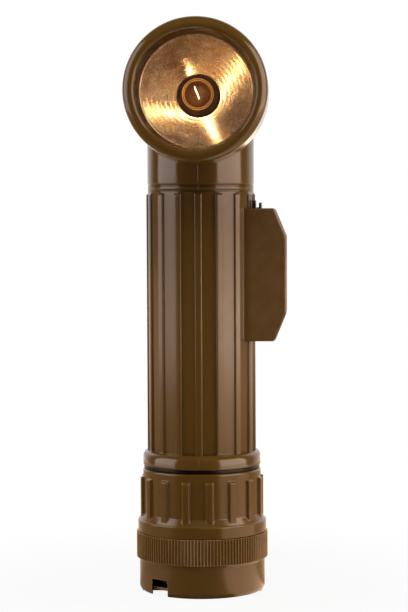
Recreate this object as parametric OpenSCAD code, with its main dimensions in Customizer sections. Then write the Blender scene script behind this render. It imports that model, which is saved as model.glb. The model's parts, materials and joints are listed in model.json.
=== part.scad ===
// Right-angle flashlight for two D cells, standing on its base cap.
// Z is up, the lamp faces -Y, the switch is on +X and the belt clip on +Y.

/* [Fits] */
// Gap of pieces that stay put
fit = 0.1; // [0.05:0.01:0.2]
// Running gap of pieces that move
run = 0.3; // [0.2:0.05:0.4]
// Gap between flat faces that meet
seam = 0.05; // [0.02:0.01:0.1]

/* [Tube] */
// Room round a cell in the bore
cell_room = 0.6; // [0.3:0.05:1]
// Wall of the tube between the ribs
tube_wall = 1.8; // [1.5:0.1:3]
// Height of the ribs
rib_proud = 0.8; // [0.5:0.1:1.2]
// Number of ribs round the tube
rib_n = 16; // [12:1:20]
// Width of a rib
rib_w = 2.7; // [2:0.1:3.4]
// Edge radius of a rib
rib_edge = 0.6; // [0.3:0.1:0.9]
// How much shorter the ribs are than the two cells
rib_short = 27.55; // [24:0.05:30]
// Length over which the ribs' upper ends slope
rib_slope = 1.2; // [0.6:0.1:3]
// Reach of the lower flange beyond the tube's wall
flange_proud = 2.45; // [1.9:0.05:3]
// Height of the lower flange
flange_h = 5.2; // [4:0.1:7]
// Radius of the flange's upper edge
flange_edge = 1.9; // [0.8:0.1:2.4]
// Length of the threaded spigot under the flange
spigot_len = 13.9; // [12:0.1:16]
// Wall of the spigot with its thread
spigot_wall = 2.5; // [2:0.1:3]

/* [Neck and head] */
// Reach of the neck and the dome beyond the tube's wall
neck_proud = 0.35; // [0.2:0.05:0.7]
// Reach of the bead under the neck beyond the tube's wall
bead_proud = -0.05; // [-0.2:0.05:0.4]
// Height of the bead
bead_h = 2.1; // [1.6:0.1:3]
// Radius of the smooth sides that end the bead
pad_r = 16; // [14:0.1:17]
// Width of the grooves above and below the bead
groove_w = 0.3; // [0.2:0.05:0.6]
// Depth of those grooves below the tube's wall
groove_depth = 0.45; // [0.3:0.05:0.6]
// Height from the neck's lower edge to the lamp axis
neck_len = 31.45; // [30:0.05:36]
// Height from the neck's lower edge to the inner shoulder over the cells
shoulder_up = 9.35; // [8:0.05:12]
// Width of that shoulder
shoulder_lip = 1.1; // [0.8:0.1:2]
// Length of that shoulder
shoulder_h = 1.5; // [1:0.1:3]
// Upward tilt of the lamp axis, degrees
head_tilt = 3; // [0:0.5:6]
// Wall of the dome and neck
head_wall = 2; // [1.5:0.1:2.4]
// How far the head's rim stands behind the neck's front
rim_set = 0.65; // [-1:0.05:0.8]
// Thickness of that rim
rim_t = 2.2; // [1.5:0.1:3]
// Reach of that rim beyond the barrel's thread
rim_proud = 0.9; // [0.5:0.1:1.5]
// Length of the threaded barrel in front of the rim
barrel_len = 7.8; // [7:0.1:9]
// Wall of the barrel with its thread
barrel_wall = 2; // [1.6:0.1:2.4]
// Room round the reflector in the barrel
mirror_room = 0.15; // [0.1:0.05:0.4]

/* [Threads] */
// Depth of a thread
thread_depth = 0.8; // [0.5:0.1:1]
// Pitch of the tail cap's thread
tail_pitch = 3; // [2.5:0.1:3.5]
// Pitch of the lens ring's and the base cap's thread
cap_pitch = 2.5; // [2:0.1:3]

/* [Lens ring and lamp] */
// Wall of the lens ring round its thread
ring_wall = 2.45; // [2:0.05:3.5]
// Length of the lens ring
ring_len = 19.3; // [18:0.1:21]
// Radius of the ring's front edge
ring_edge = 3.1; // [2:0.1:3.2]
// Radius of the ring's rear edge
ring_back_edge = 1.2; // [0.6:0.1:1.5]
// Width of the rounding inside the front lip
lip_round = 1.35; // [0.8:0.05:1.5]
// Depth of that rounding
lip_depth = 1.8; // [1:0.1:2.5]
// Widening of the opening from the lens to that rounding
opening_flare = 1.1; // [0.8:0.1:1.3]
// Room round the reflector's edge in the opening
clear_room = 0.1; // [0:0.05:0.3]
// Length of the straight part of that opening
clear_len = 0.8; // [0.4:0.1:1.5]
// How far the lens and the spare filters stay inside the reflector's lip
disc_in = 1; // [0.8:0.1:1.2]
// Thickness of the lens
lens_t = 1.5; // [1:0.1:2]
// Thickness of the lens gasket
gasket_t = 0.8; // [0.5:0.1:1.2]
// Diameter of the reflector's bright edge
mirror_d = 40; // [39.4:0.1:40]
// Room round the bulb's flange in the reflector's throat
throat_room = 1.3; // [0.6:0.05:1.6]
// Focal length of the reflector
focus = 5.3; // [5:0.1:6]
// Thickness of the reflector's sheet
mirror_t = 0.75; // [0.5:0.05:0.8]
// How far the reflector's lip stays inside the barrel's edge
lip_in = 0.6; // [0.4:0.1:1]
// Length of the reflector's rear collar
collar_len = 5; // [4:0.1:6]
// Diameter of the bulb's glass
bulb_d = 11.4; // [10.5:0.1:12]
// Wall of the bulb's glass
glass_t = 0.6; // [0.4:0.1:0.8]
// Diameter of the bulb's glass neck
bulb_neck_d = 8.6; // [8:0.1:9]
// Height from the bulb's flange to the filament
filament_up = 6; // [5:0.1:7]
// Height from the bulb's flange to the middle of its globe
globe_up = 9.2; // [8.5:0.1:10]
// Diameter of the bulb's flange
bulb_flange_d = 13.4; // [13:0.1:13.8]
// Thickness of the bulb's flange
bulb_flange_t = 0.4; // [0.3:0.1:0.6]
// Diameter of the bulb's base
bulb_base_d = 9.2; // [8.8:0.1:9.6]
// Length of the bulb's base
bulb_base_len = 13.6; // [12:0.1:14]
// Diameter of the solder tip on the base
tip_d = 3.2; // [2.6:0.1:4]
// Height of that tip
tip_h = 1.4; // [1:0.1:2]
// Thickness of the bulb holder's rear rim
holder_rim = 1; // [0.8:0.1:1.5]
// Diameter of a filament post
post_d = 0.5; // [0.4:0.05:0.7]
// Distance between the filament posts
post_gap = 3.2; // [2.6:0.1:4]

/* [Cells and contacts] */
// Diameter of a cell
cell_d = 33.8; // [33:0.1:34.2]
// Length of a cell with its button
cell_h = 61.5; // [60.5:0.1:61.5]
// Diameter of a cell's button
nub_d = 9.5; // [8.5:0.1:9.5]
// Height of a cell's button
nub_h = 1.5; // [1.2:0.1:1.8]
// Edge radius of a cell
cell_edge = 1.2; // [0.6:0.1:1.6]
// Thickness of the contact strips
strip_t = 0.5; // [0.3:0.05:0.6]
// Width of the conductors in the tube
strip_w = 4.4; // [3.5:0.1:5.4]
// Width of the lamp contact
contact_w = 6; // [5:0.1:7]
// Height of the dimple that meets the bulb's tip
dimple_h = 1; // [0.6:0.1:1.5]
// Thickness of the insulator disc
insulator_t = 2; // [1.5:0.1:2.5]
// Wire of the tail spring
spring_wire = 1.6; // [1.2:0.1:2]
// Coil diameter at the spring's foot
spring_foot_d = 28; // [25:0.5:30]
// Coil diameter at the spring's head
spring_head_d = 18; // [16:0.5:20]
// Turns of the tail spring
spring_turns = 4.5; // [3.5:0.5:5.5]

/* [Switch] */
// Drop of the guard's upper edge below the ribs' upper end
guard_drop = 6.15; // [5:0.05:12]
// Height of the guard plates
guard_h = 48.5; // [47:0.1:52]
// Reach of the guard plates beyond the switch seat
guard_reach = 12.5; // [11:0.1:14]
// Sideways run of the guard's slanted corners
guard_slant_x = 4.3; // [3:0.1:6]
// Upright run of the guard's slanted corners
guard_slant_z = 10.4; // [8:0.1:12]
// Corner radius of the guard plates
guard_round = 1.8; // [1:0.1:2.5]
// Edge radius of the guard plates
guard_soft = 0.8; // [0.4:0.1:0.9]
// Thickness of a guard plate
guard_t = 2.2; // [1.8:0.1:3]
// Clear width between the guard plates
channel_w = 17.2; // [16.6:0.1:19]
// Depth of the flat switch seat in the tube's wall
seat_cut = 0.1; // [0:0.05:0.3]
// Height of the seat above the guard's upper edge
seat_over = 3; // [2:0.1:4]
// Thickness of the switch gasket
switch_gasket_t = 0.5; // [0.3:0.1:0.7]
// Thickness of the switch plate
plate_t = 0.6; // [0.5:0.1:0.8]
// Gap on each side of the switch plate
plate_gap = 0.9; // [0.4:0.1:1.2]
// Room between the switch plate and the slide's blade
blade_gap = 1.3; // [1.2:0.1:1.6]
// Thickness of the slide's blade
blade_t = 0.85; // [0.7:0.05:1.2]
// Drop of the slide's upper end below the plate's upper end
blade_drop = 0.8; // [0.4:0.1:1.5]
// Length of the slide
slide_len = 39.6; // [38.5:0.1:41]
// Travel of the slide
slide_travel = 9.5; // [8:0.1:10]
// Width of the slide's skids
skid_w = 1; // [0.8:0.1:1.2]
// Width of the slide's top bar and of the bar above the thumb piece
slide_bar = 2.8; // [2:0.1:3.2]
// Width of the rails that hold the slide down
rail_w = 1.6; // [1.2:0.1:1.8]
// Thickness of those rails
rail_t = 1; // [0.8:0.1:1.4]
// Length of the thumb piece
thumb_len = 13; // [11:0.1:13]
// Height of the thumb piece over the blade
thumb_h = 5.3; // [4:0.1:6]
// Gap between the thumb piece and the rails
thumb_gap = 0.7; // [0.4:0.1:1.5]
// Diameter of the signal button
button_d = 6.8; // [6:0.1:7]
// Height of the signal button over its guide
button_proud = 2.2; // [1.8:0.1:3]
// Travel of the signal button
button_travel = 1.5; // [1:0.1:1.6]
// Wall of the button's guide
guide_wall = 0.7; // [0.6:0.05:0.8]
// Width of the button's retaining step
button_step = 0.6; // [0.4:0.1:0.7]
// Thickness of that step
step_t = 0.6; // [0.4:0.1:0.8]
// Wall of the button
button_wall = 0.7; // [0.5:0.1:0.9]
// Roof of the button
button_roof = 1.2; // [0.8:0.1:1.4]
// Diameter of the contact studs
stud_d = 2.8; // [2.2:0.1:3]
// Distance between the contact studs
stud_gap = 8; // [7:0.1:9]
// Wire of the button spring
button_wire = 0.5; // [0.4:0.05:0.6]
// Turns of the button spring
button_turns = 3; // [2.5:0.5:3]
// Shank diameter of the switch rivets
rivet_d = 1.8; // [1.4:0.1:2]
// Head diameter of the switch rivets
rivet_head_d = 2.6; // [2.2:0.1:3]
// Depth of the rivets in the body
rivet_depth = 2.2; // [1.5:0.1:2.4]

/* [Belt clip] */
// Thickness of the clip's strip
clip_t = 0.9; // [0.7:0.05:1.1]
// Width of the clip
clip_w = 15; // [13:0.5:17]
// Reach of the clip's seat beyond the ribs
clip_seat_proud = 0.5; // [0.3:0.1:1]
// Height of the clip's seat
clip_seat_h = 20; // [18:0.5:24]
// Width of the clip's seat
clip_seat_w = 18; // [17.5:0.5:20]
// Drop of the seat's upper end below the ribs' upper end
clip_drop = 5.55; // [3:0.05:8]
// Bend radius of the clip at mid thickness
clip_bend = 3; // [2.6:0.1:4]
// Length of the clip's arm
clip_len = 66; // [58:0.5:72]
// Length of the arm's lower part, from its bump down
clip_tail = 12; // [9:0.5:15]
// Length over which the arm leans in above its bump
clip_lean = 16; // [12:0.5:20]
// Gap at the crest, where the arm flexes
clip_split = 0.25; // [0.2:0.05:0.4]
// Gap between the arm's bump and the ribs
clip_touch = 0.5; // [0.3:0.05:1]
// Shank diameter of the clip rivets
clip_rivet_d = 2.4; // [2:0.1:3]
// Head diameter of the clip rivets
clip_rivet_head = 5; // [4:0.1:6]
// Head height of the clip rivets
clip_rivet_h = 1.1; // [0.8:0.1:1.4]
// Distance between the clip rivets
clip_rivet_gap = 10; // [8:0.5:12]

/* [Tail cap] */
// Wall of the tail cap round its thread
tail_wall = 1.55; // [1.3:0.05:2]
// Height of the tail cap over the base cap
tail_h = 23.5; // [21:0.1:25]
// Reach of the flared band beyond the drum
flare_proud = 1.95; // [1.5:0.05:2.4]
// Height of the flared band's upright face
flare_h = 4.6; // [3.5:0.1:6]
// Height of the slope above that face
flare_slope = 2.4; // [1.5:0.1:3.5]
// Edge radius of the flared band
flare_edge = 0.35; // [0.2:0.05:0.6]
// Upper edge radius of the tail cap
tail_edge = 0.6; // [0.3:0.1:0.8]
// Height of the grip ribs
grip_proud = 1.05; // [0.7:0.05:1.4]
// Number of grip ribs
grip_n = 16; // [12:1:20]
// Width of a grip rib
grip_w = 3; // [2.6:0.1:3.8]
// Edge radius of a grip rib
grip_edge = 0.9; // [0.5:0.1:1.2]
// Height of the grip ribs above the flared band's upright face
grip_h = 16.1; // [13:0.1:17]
// Length over which the grip ribs' upper ends slope
grip_slope = 0.6; // [0.4:0.1:2]
// Turn of the grip ribs, degrees
grip_turn = 10; // [0:0.5:22]
// Floor of the tail cap
tail_floor = 1.8; // [1.4:0.1:2.4]
// Width of the ledge round the well in the tail cap
ledge_w = 1.6; // [1.2:0.1:2]
// Wall of the boss with its thread
boss_wall = 3.5; // [3:0.1:4]
// Thickness of the seal
seal_t = 1.4; // [1:0.1:1.8]
// Width of the seal
seal_w = 1.35; // [0.7:0.05:1.5]

/* [Base cap] */
// Wall of the base cap round its thread
base_wall = 1.05; // [0.9:0.05:1.5]
// Height of the smooth drum
base_h = 11.5; // [10:0.1:12.5]
// Lower edge radius of the drum
base_edge = 1.8; // [1:0.1:2]
// Reach of the knurl beyond the drum
knurl_proud = 1.1; // [0.8:0.05:1.5]
// Height of the knurled band
knurl_h = 10.3; // [9.5:0.1:12]
// Number of ridges in the knurl
knurl_n = 126; // [80:2:140]
// Depth of the knurl
knurl_depth = 0.5; // [0.3:0.05:0.8]
// Chamfer of the knurled band
knurl_chamfer = 0.9; // [0.5:0.1:1.2]
// Depth of the recess in the foot
recess_h = 6.5; // [6.2:0.1:7]
// Wall of the foot
foot_wall = 2.55; // [2:0.05:2.8]
// Floor between the recess and the filters
base_floor = 1.5; // [1.2:0.1:2]
// Width of the finger notch
notch_w = 6; // [5:0.1:8]
// Distance of the notch from the middle of the front
notch_x = 14.7; // [10:0.1:16]
// Height of the finger notch
notch_h = 6.2; // [5:0.1:6.2]
// Turn of the hanging loop from the front, degrees
loop_turn = -41; // [-60:1:0]
// Height of the retaining lip across the notch
lip_up = 2.3; // [0.6:0.1:2.8]
// Thickness of that lip
lip_h = 0.9; // [0.8:0.1:1.4]
// Thickness of a filter
filter_t = 1.4; // [1:0.1:1.5]
// Thickness of the foam cushion
cushion_t = 0.7; // [0.5:0.1:1]
// Width of the foam cushion's ring
cushion_w = 6; // [4:0.5:8]
// Wire of the hanging loop
loop_wire = 2.4; // [2:0.1:2.6]
// Width of the loop at mid wire
loop_w = 21.6; // [19:0.1:23]
// Room between the loop's pivot and the foot's wall
pivot_room = 7.7; // [7:0.1:9]
// Room between the loop's free end and the foot's wall
loop_room = 2.7; // [2:0.1:4]
// Thickness of the bracket's sheet
bracket_t = 0.8; // [0.6:0.1:1]
// Width of the bracket
bracket_w = 10; // [8:0.5:12]
// Length of the bracket's leaf
leaf_len = 7; // [6.5:0.1:8]
// Shank diameter of the bracket's rivets
pin_d = 1.6; // [1.2:0.1:1.8]
// Head diameter of the bracket's rivets
pin_head_d = 3; // [2.4:0.1:3.4]
// Head height of the bracket's rivets
pin_head_h = 0.7; // [0.5:0.1:0.9]
// Distance between the bracket's rivets
pin_gap = 5.6; // [5:0.1:7]

/* [Hidden] */
$fn = 64;

// Small overlap that makes cuts run past a face
over = 1;
// Radii of the tube, from the cells outward
bore_r = cell_d / 2 + cell_room;
tube_r = bore_r + tube_wall;
rib_r = tube_r + rib_proud;
flange_r = tube_r + flange_proud;
neck_r = tube_r + neck_proud;
bead_r = tube_r + bead_proud;
groove_r = tube_r - groove_depth;
shoulder_r = bore_r - shoulder_lip;
spigot_r = bore_r + spigot_wall;

// Radii of the head, from the reflector outward
mirror_r = mirror_d / 2;
throat_r = bulb_flange_d / 2 + throat_room;
barrel_bore_r = mirror_r + mirror_t + mirror_room;
barrel_r = barrel_bore_r + barrel_wall;
rim_r = barrel_r + rim_proud;
lip_r = barrel_r - lip_in;
disc_r = lip_r - disc_in;
ring_r = barrel_r + run + ring_wall;
clear_r = mirror_r + clear_room;
step_r = clear_r + opening_flare;

// Radii of the caps, from the spigot outward
tail_r = spigot_r + run + tail_wall;
flare_r = tail_r + flare_proud;
grip_r = tail_r + grip_proud;
well_r = spigot_r - ledge_w;
boss_r = max(well_r + boss_wall, disc_r);
seal_r = spigot_r + fit + seal_w;
base_r = boss_r + run + base_wall;
knurl_r = base_r + knurl_proud;
knurl_core_r = knurl_r - knurl_depth - fit;
recess_r = base_r - foot_wall;
wire_r = loop_wire / 2;

// Levels from the foot up
chamber_z = recess_h + base_floor;
filters_z = chamber_z + seam;
cushion_z = filters_z + 3 * filter_t;
tail_z = cushion_z + cushion_t + seam;
base_top = base_h + knurl_h;
flare_z = base_top + seam;
tail_top = flare_z + tail_h;
grip_z = flare_z + flare_h;
seal_z = tail_top + seam;
flange_z = seal_z + seal_t + seam;
spigot_z = flange_z - spigot_len;
tube_z = flange_z + flange_h;
rib_len = 2 * cell_h - rib_short;
rib_top = tube_z + rib_len;
bead_z = rib_top + groove_w;
neck_z = bead_z + bead_h + groove_w;
head_z = neck_z + neck_len;
shoulder_z = neck_z + shoulder_up;
insulator_z = shoulder_z - seam - insulator_t;
contact_z = insulator_z - seam - strip_t;
cells_top = contact_z - seam;
cells_z = cells_top - 2 * cell_h;
well_z = tail_z + tail_floor;
spring_z = well_z + seam + strip_t;
ledge_z = spigot_z - run - strip_t;

// Stations along the lamp axis
rim_u = neck_r - rim_set;
barrel_u = rim_u + barrel_len;
ring_u = rim_u + seam;
ring_front = ring_u + ring_len;
mirror_u = barrel_u + strip_t + seam;
lens_u = mirror_u + seam;
gasket_u = lens_u + lens_t + seam;
stop_u = gasket_u + gasket_t + seam;
vertex_u = mirror_u - mirror_r * mirror_r / (4 * focus);
throat_u = vertex_u + throat_r * throat_r / (4 * focus);
collar_u = throat_u - collar_len;
bulb_u = vertex_u + focus - filament_up;
holder_u = bulb_u - seam;
tip_u = bulb_u - bulb_base_len - tip_h;
riser_y = dimple_h - tip_u;

// Stations of the switch outward from the tube axis
seat_x = tube_r - seat_cut;
groove_x = bore_r + strip_t + fit;
plate_x = seat_x + switch_gasket_t + seam;
plate_top_x = plate_x + plate_t;
blade_x = plate_top_x + blade_gap;
blade_top_x = blade_x + blade_t;
rail_x = blade_top_x + run;
guard_x = seat_x + guard_reach;
guard_top = rib_top - guard_drop;
guard_z = guard_top - guard_h;
seat_top = guard_top + seat_over;
plate_top_z = seat_top - seam;
slide_top = plate_top_z - blade_drop;
slide_z = slide_top - slide_len;
thumb_top = slide_z + thumb_len;
window_z = thumb_top + slide_bar / 2;
window_top = slide_top - slide_bar;
guide_r = button_d / 2 + button_step + fit + guide_wall;
button_z = (window_z + window_top - slide_travel) / 2;
button_x = plate_top_x + run + button_travel;
guide_top_x = button_x + step_t + run + step_t;
button_top_x = guide_top_x + button_proud;
skid_y = guide_r + run;
blade_w = channel_w - 2 * run;
plate_w = channel_w - 2 * plate_gap;
thumb_w = channel_w - 2 * rail_w - 2 * thumb_gap;
stud_z = slide_z + thumb_len / 2 - stud_gap / 2;
plate_z = guard_z + run;
rivet_y = plate_w / 2 - rivet_head_d / 2 - fit;
rivet_z = [plate_z + rivet_head_d, guard_top - rivet_head_d];

// Stations of the belt clip
clip_seat_y = rib_r + clip_seat_proud;
clip_seat_z = rib_top - clip_drop - clip_seat_h;
clip_mid_y = clip_seat_y + seam + clip_t / 2;
clip_bend_z = clip_seat_z + clip_seat_h;
clip_arm_y = clip_mid_y + 2 * clip_bend;
clip_end_z = clip_bend_z - clip_len;
bump_y = rib_r + clip_touch + clip_t / 2;
clip_rivet_z = clip_seat_z + (clip_seat_h - clip_rivet_gap) / 2;

// The hanging loop
loop_back = recess_r - pivot_room;
loop_front = recess_r - loop_room;
loop_z = recess_h - seam - bracket_t - fit - wire_r;
eye_r = wire_r + fit;

brown = "#6e4d22";
black = "#17171a";
brass = "#c9a24a";
steel = "#b8babd";

function unit(v) = v / norm(v);
function xy(p) = [p[0], p[1]];

// Points of an arc that rounds corner p between its neighbours a and b
function corner(a, p, b, r, n) =
  let (
    u = unit(a - p),
    v = unit(b - p),
    half = acos(u * v) / 2,
    centre = p + unit(u + v) * r / sin(half),
    from = p + u * r / tan(half) - centre,
    to = p + v * r / tan(half) - centre,
    start = atan2(from[1], from[0]),
    sweep = (atan2(to[1], to[0]) - start + 540) % 360 - 180
  )
  [for (i = [0:n]) centre + r * [cos(start + sweep * i / n), sin(start + sweep * i / n)]];

// An outline of [x, y, radius] points with its corners rounded
function rounded(pts, n = 6) =
  let (k = len(pts))
  [for (i = [0:k - 1])
    each (pts[i][2] > 0
      ? corner(xy(pts[(i + k - 1) % k]), xy(pts[i]), xy(pts[(i + 1) % k]), pts[i][2], n)
      : [xy(pts[i])])];

// The outline of a bent strip of thickness t along a path
function side_point(path, i, t) =
  let (
    k = len(path),
    d0 = unit(path[max(i, 1)] - path[max(i, 1) - 1]),
    d1 = unit(path[min(i, k - 2) + 1] - path[min(i, k - 2)]),
    mid = unit(d0 + d1)
  )
  path[i] + [-mid[1], mid[0]] * t / 2 / (mid * d1);
function strip(path, t) =
  let (k = len(path))
  concat([for (i = [0:k - 1]) side_point(path, i, t)],
         [for (i = [k - 1:-1:0]) side_point(path, i, -t)]);

// Points along a coil about Z, and a tube swept along them
function coil_point(r0, r1, h, turns, s) =
  let (r = r0 + (r1 - r0) * s)
  [r * cos(360 * turns * s), r * sin(360 * turns * s), h * s];
function coil_gap(r0, r1, h, turns, wire, n) =
  min([for (i = [0:n])
    for (j = [0:n])
      let (apart = abs(i - j) / n * turns)
      if (apart > 0.5)
        norm(coil_point(r0, r1, h, turns, i / n) - coil_point(r0, r1, h, turns, j / n))]) - wire;
module coil(r0, r1, h, turns, wire, per_turn, sides) {
  rings = round(turns * per_turn);
  pts = [for (i = [0:rings]) for (k = [0:sides - 1])
    let (
      p = coil_point(r0, r1, h, turns, i / rings),
      a = 360 * turns * i / rings,
      b = 360 * k / sides
    )
    p + wire / 2 * [cos(b) * cos(a), cos(b) * sin(a), sin(b)]];
  walls = [for (i = [0:rings - 1]) for (k = [0:sides - 1])
    let (q = i * sides + k, s = i * sides + (k + 1) % sides)
    each [[q, s, q + sides], [s, s + sides, q + sides]]];
  first = [for (k = [1:sides - 2]) [0, k + 1, k]];
  last = [for (k = [1:sides - 2]) rings * sides * [1, 1, 1] + [0, k, k + 1]];
  polyhedron(pts, concat(walls, first, last));
}

// Half outlines for turned pieces
module band(r, z0, z1) translate([0, z0]) square([r, z1 - z0]);
module soft_band(r, z0, z1, low, high) {
  band(r, z0 + low, z1 - high);
  band(r - low, z0, z1 - high);
  band(r - high, z0 + low, z1);
  translate([r - low, z0 + low]) circle(low);
  translate([r - high, z1 - high]) circle(high);
}
module right_half(size) intersection() {
  translate([0, -size]) square([size, 2 * size]);
  children();
}
// Outline of a male thread, drawn as rings of its pitch
module thread(r, z0, z1, pitch) difference() {
  band(r, z0, z1);
  for (z = [z0 + pitch / 2:pitch:z1 - pitch / 2])
    translate([r, z]) polygon([
      [-thread_depth, -pitch / 8], [-thread_depth, pitch / 8],
      [over, pitch / 8 + thread_depth + over], [over, -pitch / 8 - thread_depth - over]]);
}
module rib_outline(r0, r1, w, edge) {
  translate([r0, -w / 2]) square([r1 - edge - r0, w]);
  translate([r0, edge - w / 2]) square([r1 - r0, w - 2 * edge]);
  for (side = [-1, 1]) translate([r1 - edge, side * (w / 2 - edge)]) circle(edge);
}
module head_frame() translate([0, 0, head_z]) rotate([90 - head_tilt, 0, 0]) children();
module outward(z) translate([0, 0, z]) rotate([0, 90, 0]) children();
module loop_frame() rotate([0, 0, loop_turn]) children();
// An outline in the XZ plane, given thickness along Y
module upright(y0, y1) translate([0, y1, 0]) rotate([90, 0, 0]) linear_extrude(y1 - y0) children();
// An outline in the YZ plane, given width along X about the middle
module sideways(w) translate([-w / 2, 0, 0]) rotate([90, 0, 90]) linear_extrude(w) children();

// Body shell
module tube_outline() {
  thread(spigot_r, spigot_z, flange_z - tail_pitch, tail_pitch);
  band(spigot_r, flange_z - tail_pitch, flange_z + over);
  soft_band(flange_r, flange_z, tube_z, fit, flange_edge);
  band(tube_r, flange_z, rib_top);
  band(groove_r, rib_top - over, neck_z + over);
  translate([bead_r - bead_h / 2, bead_z + bead_h / 2]) circle(bead_h / 2);
  soft_band(neck_r, neck_z, head_z + groove_w, groove_w, groove_w);
}
module tube_ribs() intersection() {
  translate([0, 0, tube_z - flange_edge]) linear_extrude(rib_len + flange_edge)
    for (i = [0:rib_n - 1]) rotate(i * 360 / rib_n - 90)
      rib_outline(bore_r + fit, rib_r + fit, rib_w, rib_edge);
  rotate_extrude() polygon([
    [0, tube_z - flange_edge], [rib_r, tube_z - flange_edge], [rib_r, rib_top - rib_slope],
    [tube_r - fit, rib_top - fit], [0, rib_top - fit]]);
}
// Smooth sides that the bead fades into
module side_pads() {
  low = rib_top - rib_slope;
  for (side = [-1, 1]) translate([side * (neck_r - fit - pad_r), 0, low])
    cylinder(r = pad_r, h = neck_z + groove_w - low);
}
module ribbed_tube() difference() {
  union() {
    rotate_extrude() tube_outline();
    tube_ribs();
    side_pads();
  }
  translate([seat_x, -channel_w / 2, guard_z]) cube([rib_r, channel_w, seat_top - guard_z]);
}
module head_outside() head_frame() {
  sphere(neck_r);
  rotate_extrude() {
    polygon([[0, 0], [neck_r - fit, 0], [rim_r - rim_t / 2, rim_u - rim_t], [0, rim_u - rim_t]]);
    soft_band(rim_r, rim_u - rim_t - groove_w, rim_u, rim_t / 2, groove_w);
    thread(barrel_r, rim_u - over, barrel_u, cap_pitch);
  }
}
module guard_outline() polygon(rounded([
  [bore_r / 2, guard_z, 0],
  [guard_x - guard_slant_x, guard_z, guard_round],
  [guard_x, guard_z + guard_slant_z, guard_round],
  [guard_x, guard_top - guard_slant_z, guard_round],
  [guard_x - guard_slant_x, guard_top, guard_round],
  [bore_r / 2, guard_top, 0]]));
// A long bar with soft outer edges, whose outer face passes through [x, z] and faces at an angle
module soft_bar(x, z, angle) translate([x, 0, z]) rotate([0, -angle, 0])
  translate([-guard_h, 0, -guard_h]) linear_extrude(2 * guard_h)
    soft_band(guard_h, 0, guard_t, guard_soft, guard_soft);
module guard_plate() {
  slant = atan2(guard_slant_x, guard_slant_z);
  intersection() {
    upright(0, guard_t) guard_outline();
    soft_bar(guard_x, guard_z, 0);
    soft_bar(guard_x, guard_top - guard_slant_z, slant);
    soft_bar(guard_x, guard_z + guard_slant_z, -slant);
    soft_bar(bore_r, guard_top, 90);
    soft_bar(bore_r, guard_z, -90);
  }
}
module guard() {
  half = channel_w / 2;
  for (y = [-half - guard_t, half]) translate([0, y, 0]) guard_plate();
  for (y = [-half - over, half - rail_w])
    translate([rail_x, y, guard_z + slide_bar])
      cube([rail_t, rail_w + over, guard_h - 2 * slide_bar]);
  translate([0, -half, guard_z]) cube([seat_x, channel_w, seat_top - guard_z]);
}
module clip_seat() translate([-clip_seat_w / 2, 0, clip_seat_z])
  cube([clip_seat_w, clip_seat_y, clip_seat_h]);
module body_inside() {
  rotate_extrude() {
    band(bore_r, spigot_z - over, shoulder_z);
    band(shoulder_r, shoulder_z - over, shoulder_z + shoulder_h + over);
    band(neck_r - head_wall, shoulder_z + shoulder_h, head_z);
  }
  head_frame() {
    sphere(neck_r - head_wall);
    rotate_extrude() {
      polygon([[0, 0], [neck_r - head_wall - fit, 0], [barrel_bore_r, rim_u], [0, rim_u]]);
      band(barrel_bore_r, rim_u - seam, barrel_u + over);
    }
  }
  translate([0, -strip_w / 2 - run, spigot_z - over])
    cube([groove_x, strip_w + 2 * run, shoulder_z + shoulder_h + 3 * over - spigot_z]);
  for (i = [0, 1]) outward(stud_z + i * stud_gap) cylinder(d = stud_d + 2 * seam, h = rib_r);
  switch_rivet_places() translate([0, 0, -rivet_depth - seam])
    cylinder(d = rivet_d + 2 * seam, h = rivet_depth + over);
  clip_rivet_places() translate([0, 0, -rivet_depth - seam])
    cylinder(d = clip_rivet_d + 2 * seam, h = rivet_depth + over);
}
module switch_rivet_places() for (y = [-rivet_y, rivet_y]) for (z = rivet_z)
  translate([seat_x, y, z]) rotate([0, 90, 0]) children();
module clip_rivet_places() for (i = [0, 1])
  translate([0, clip_seat_y, clip_rivet_z + i * clip_rivet_gap]) rotate([-90, 0, 0]) children();
module body_shell() color(brown) difference() {
  union() {
    ribbed_tube();
    head_outside();
    guard();
    clip_seat();
  }
  body_inside();
}

// Lens ring, lens and lamp
module lens_ring() color(brown) head_frame() rotate_extrude() difference() {
  soft_band(ring_r, ring_u, ring_front, ring_back_edge, ring_edge);
  band(barrel_r + run, ring_u - over, barrel_u + seam);
  band(lip_r + run, ring_u - over, stop_u);
  polygon([
    [0, ring_u], [clear_r, ring_u], [clear_r, stop_u + clear_len],
    each [for (a = [0:10:90])
      [step_r + lip_round * (1 - cos(a)), ring_front - lip_depth * (1 - sin(a))]],
    [step_r + lip_round, ring_front + fit], [0, ring_front + fit]]);
}
module lens() color("#dfe8ea", 0.35) head_frame() translate([0, 0, lens_u])
  cylinder(r = disc_r, h = lens_t);
module lens_gasket() color(black) head_frame() translate([0, 0, gasket_u]) difference() {
  cylinder(r = disc_r, h = gasket_t);
  translate([0, 0, -over]) cylinder(r = clear_r, h = gasket_t + 2 * over);
}
function dish(r) = vertex_u + r * r / (4 * focus);
module reflector() color("#d9d2c0") {
  steps = 20;
  lip_low = barrel_u + seam;
  outer_r = sqrt((lip_low - vertex_u) * 4 * focus);
  head_frame() rotate_extrude() polygon(concat(
    [[throat_r, collar_u]],
    [for (i = [0:steps]) let (r = throat_r + (mirror_r - throat_r) * i / steps) [r, dish(r)]],
    [[lip_r, mirror_u], [lip_r, lip_low]],
    [for (i = [steps:-1:0]) let (r = throat_r + (outer_r - throat_r) * i / steps)
      [r + mirror_t, dish(r)]],
    [[throat_r + mirror_t, collar_u]]));
}
module bulb_outline(shrink, low) right_half(2 * ring_r) {
  translate([0, bulb_u + globe_up]) circle(bulb_d / 2 - shrink);
  translate([0, low]) square([bulb_neck_d / 2 - shrink, bulb_u + globe_up - low]);
}
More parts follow.
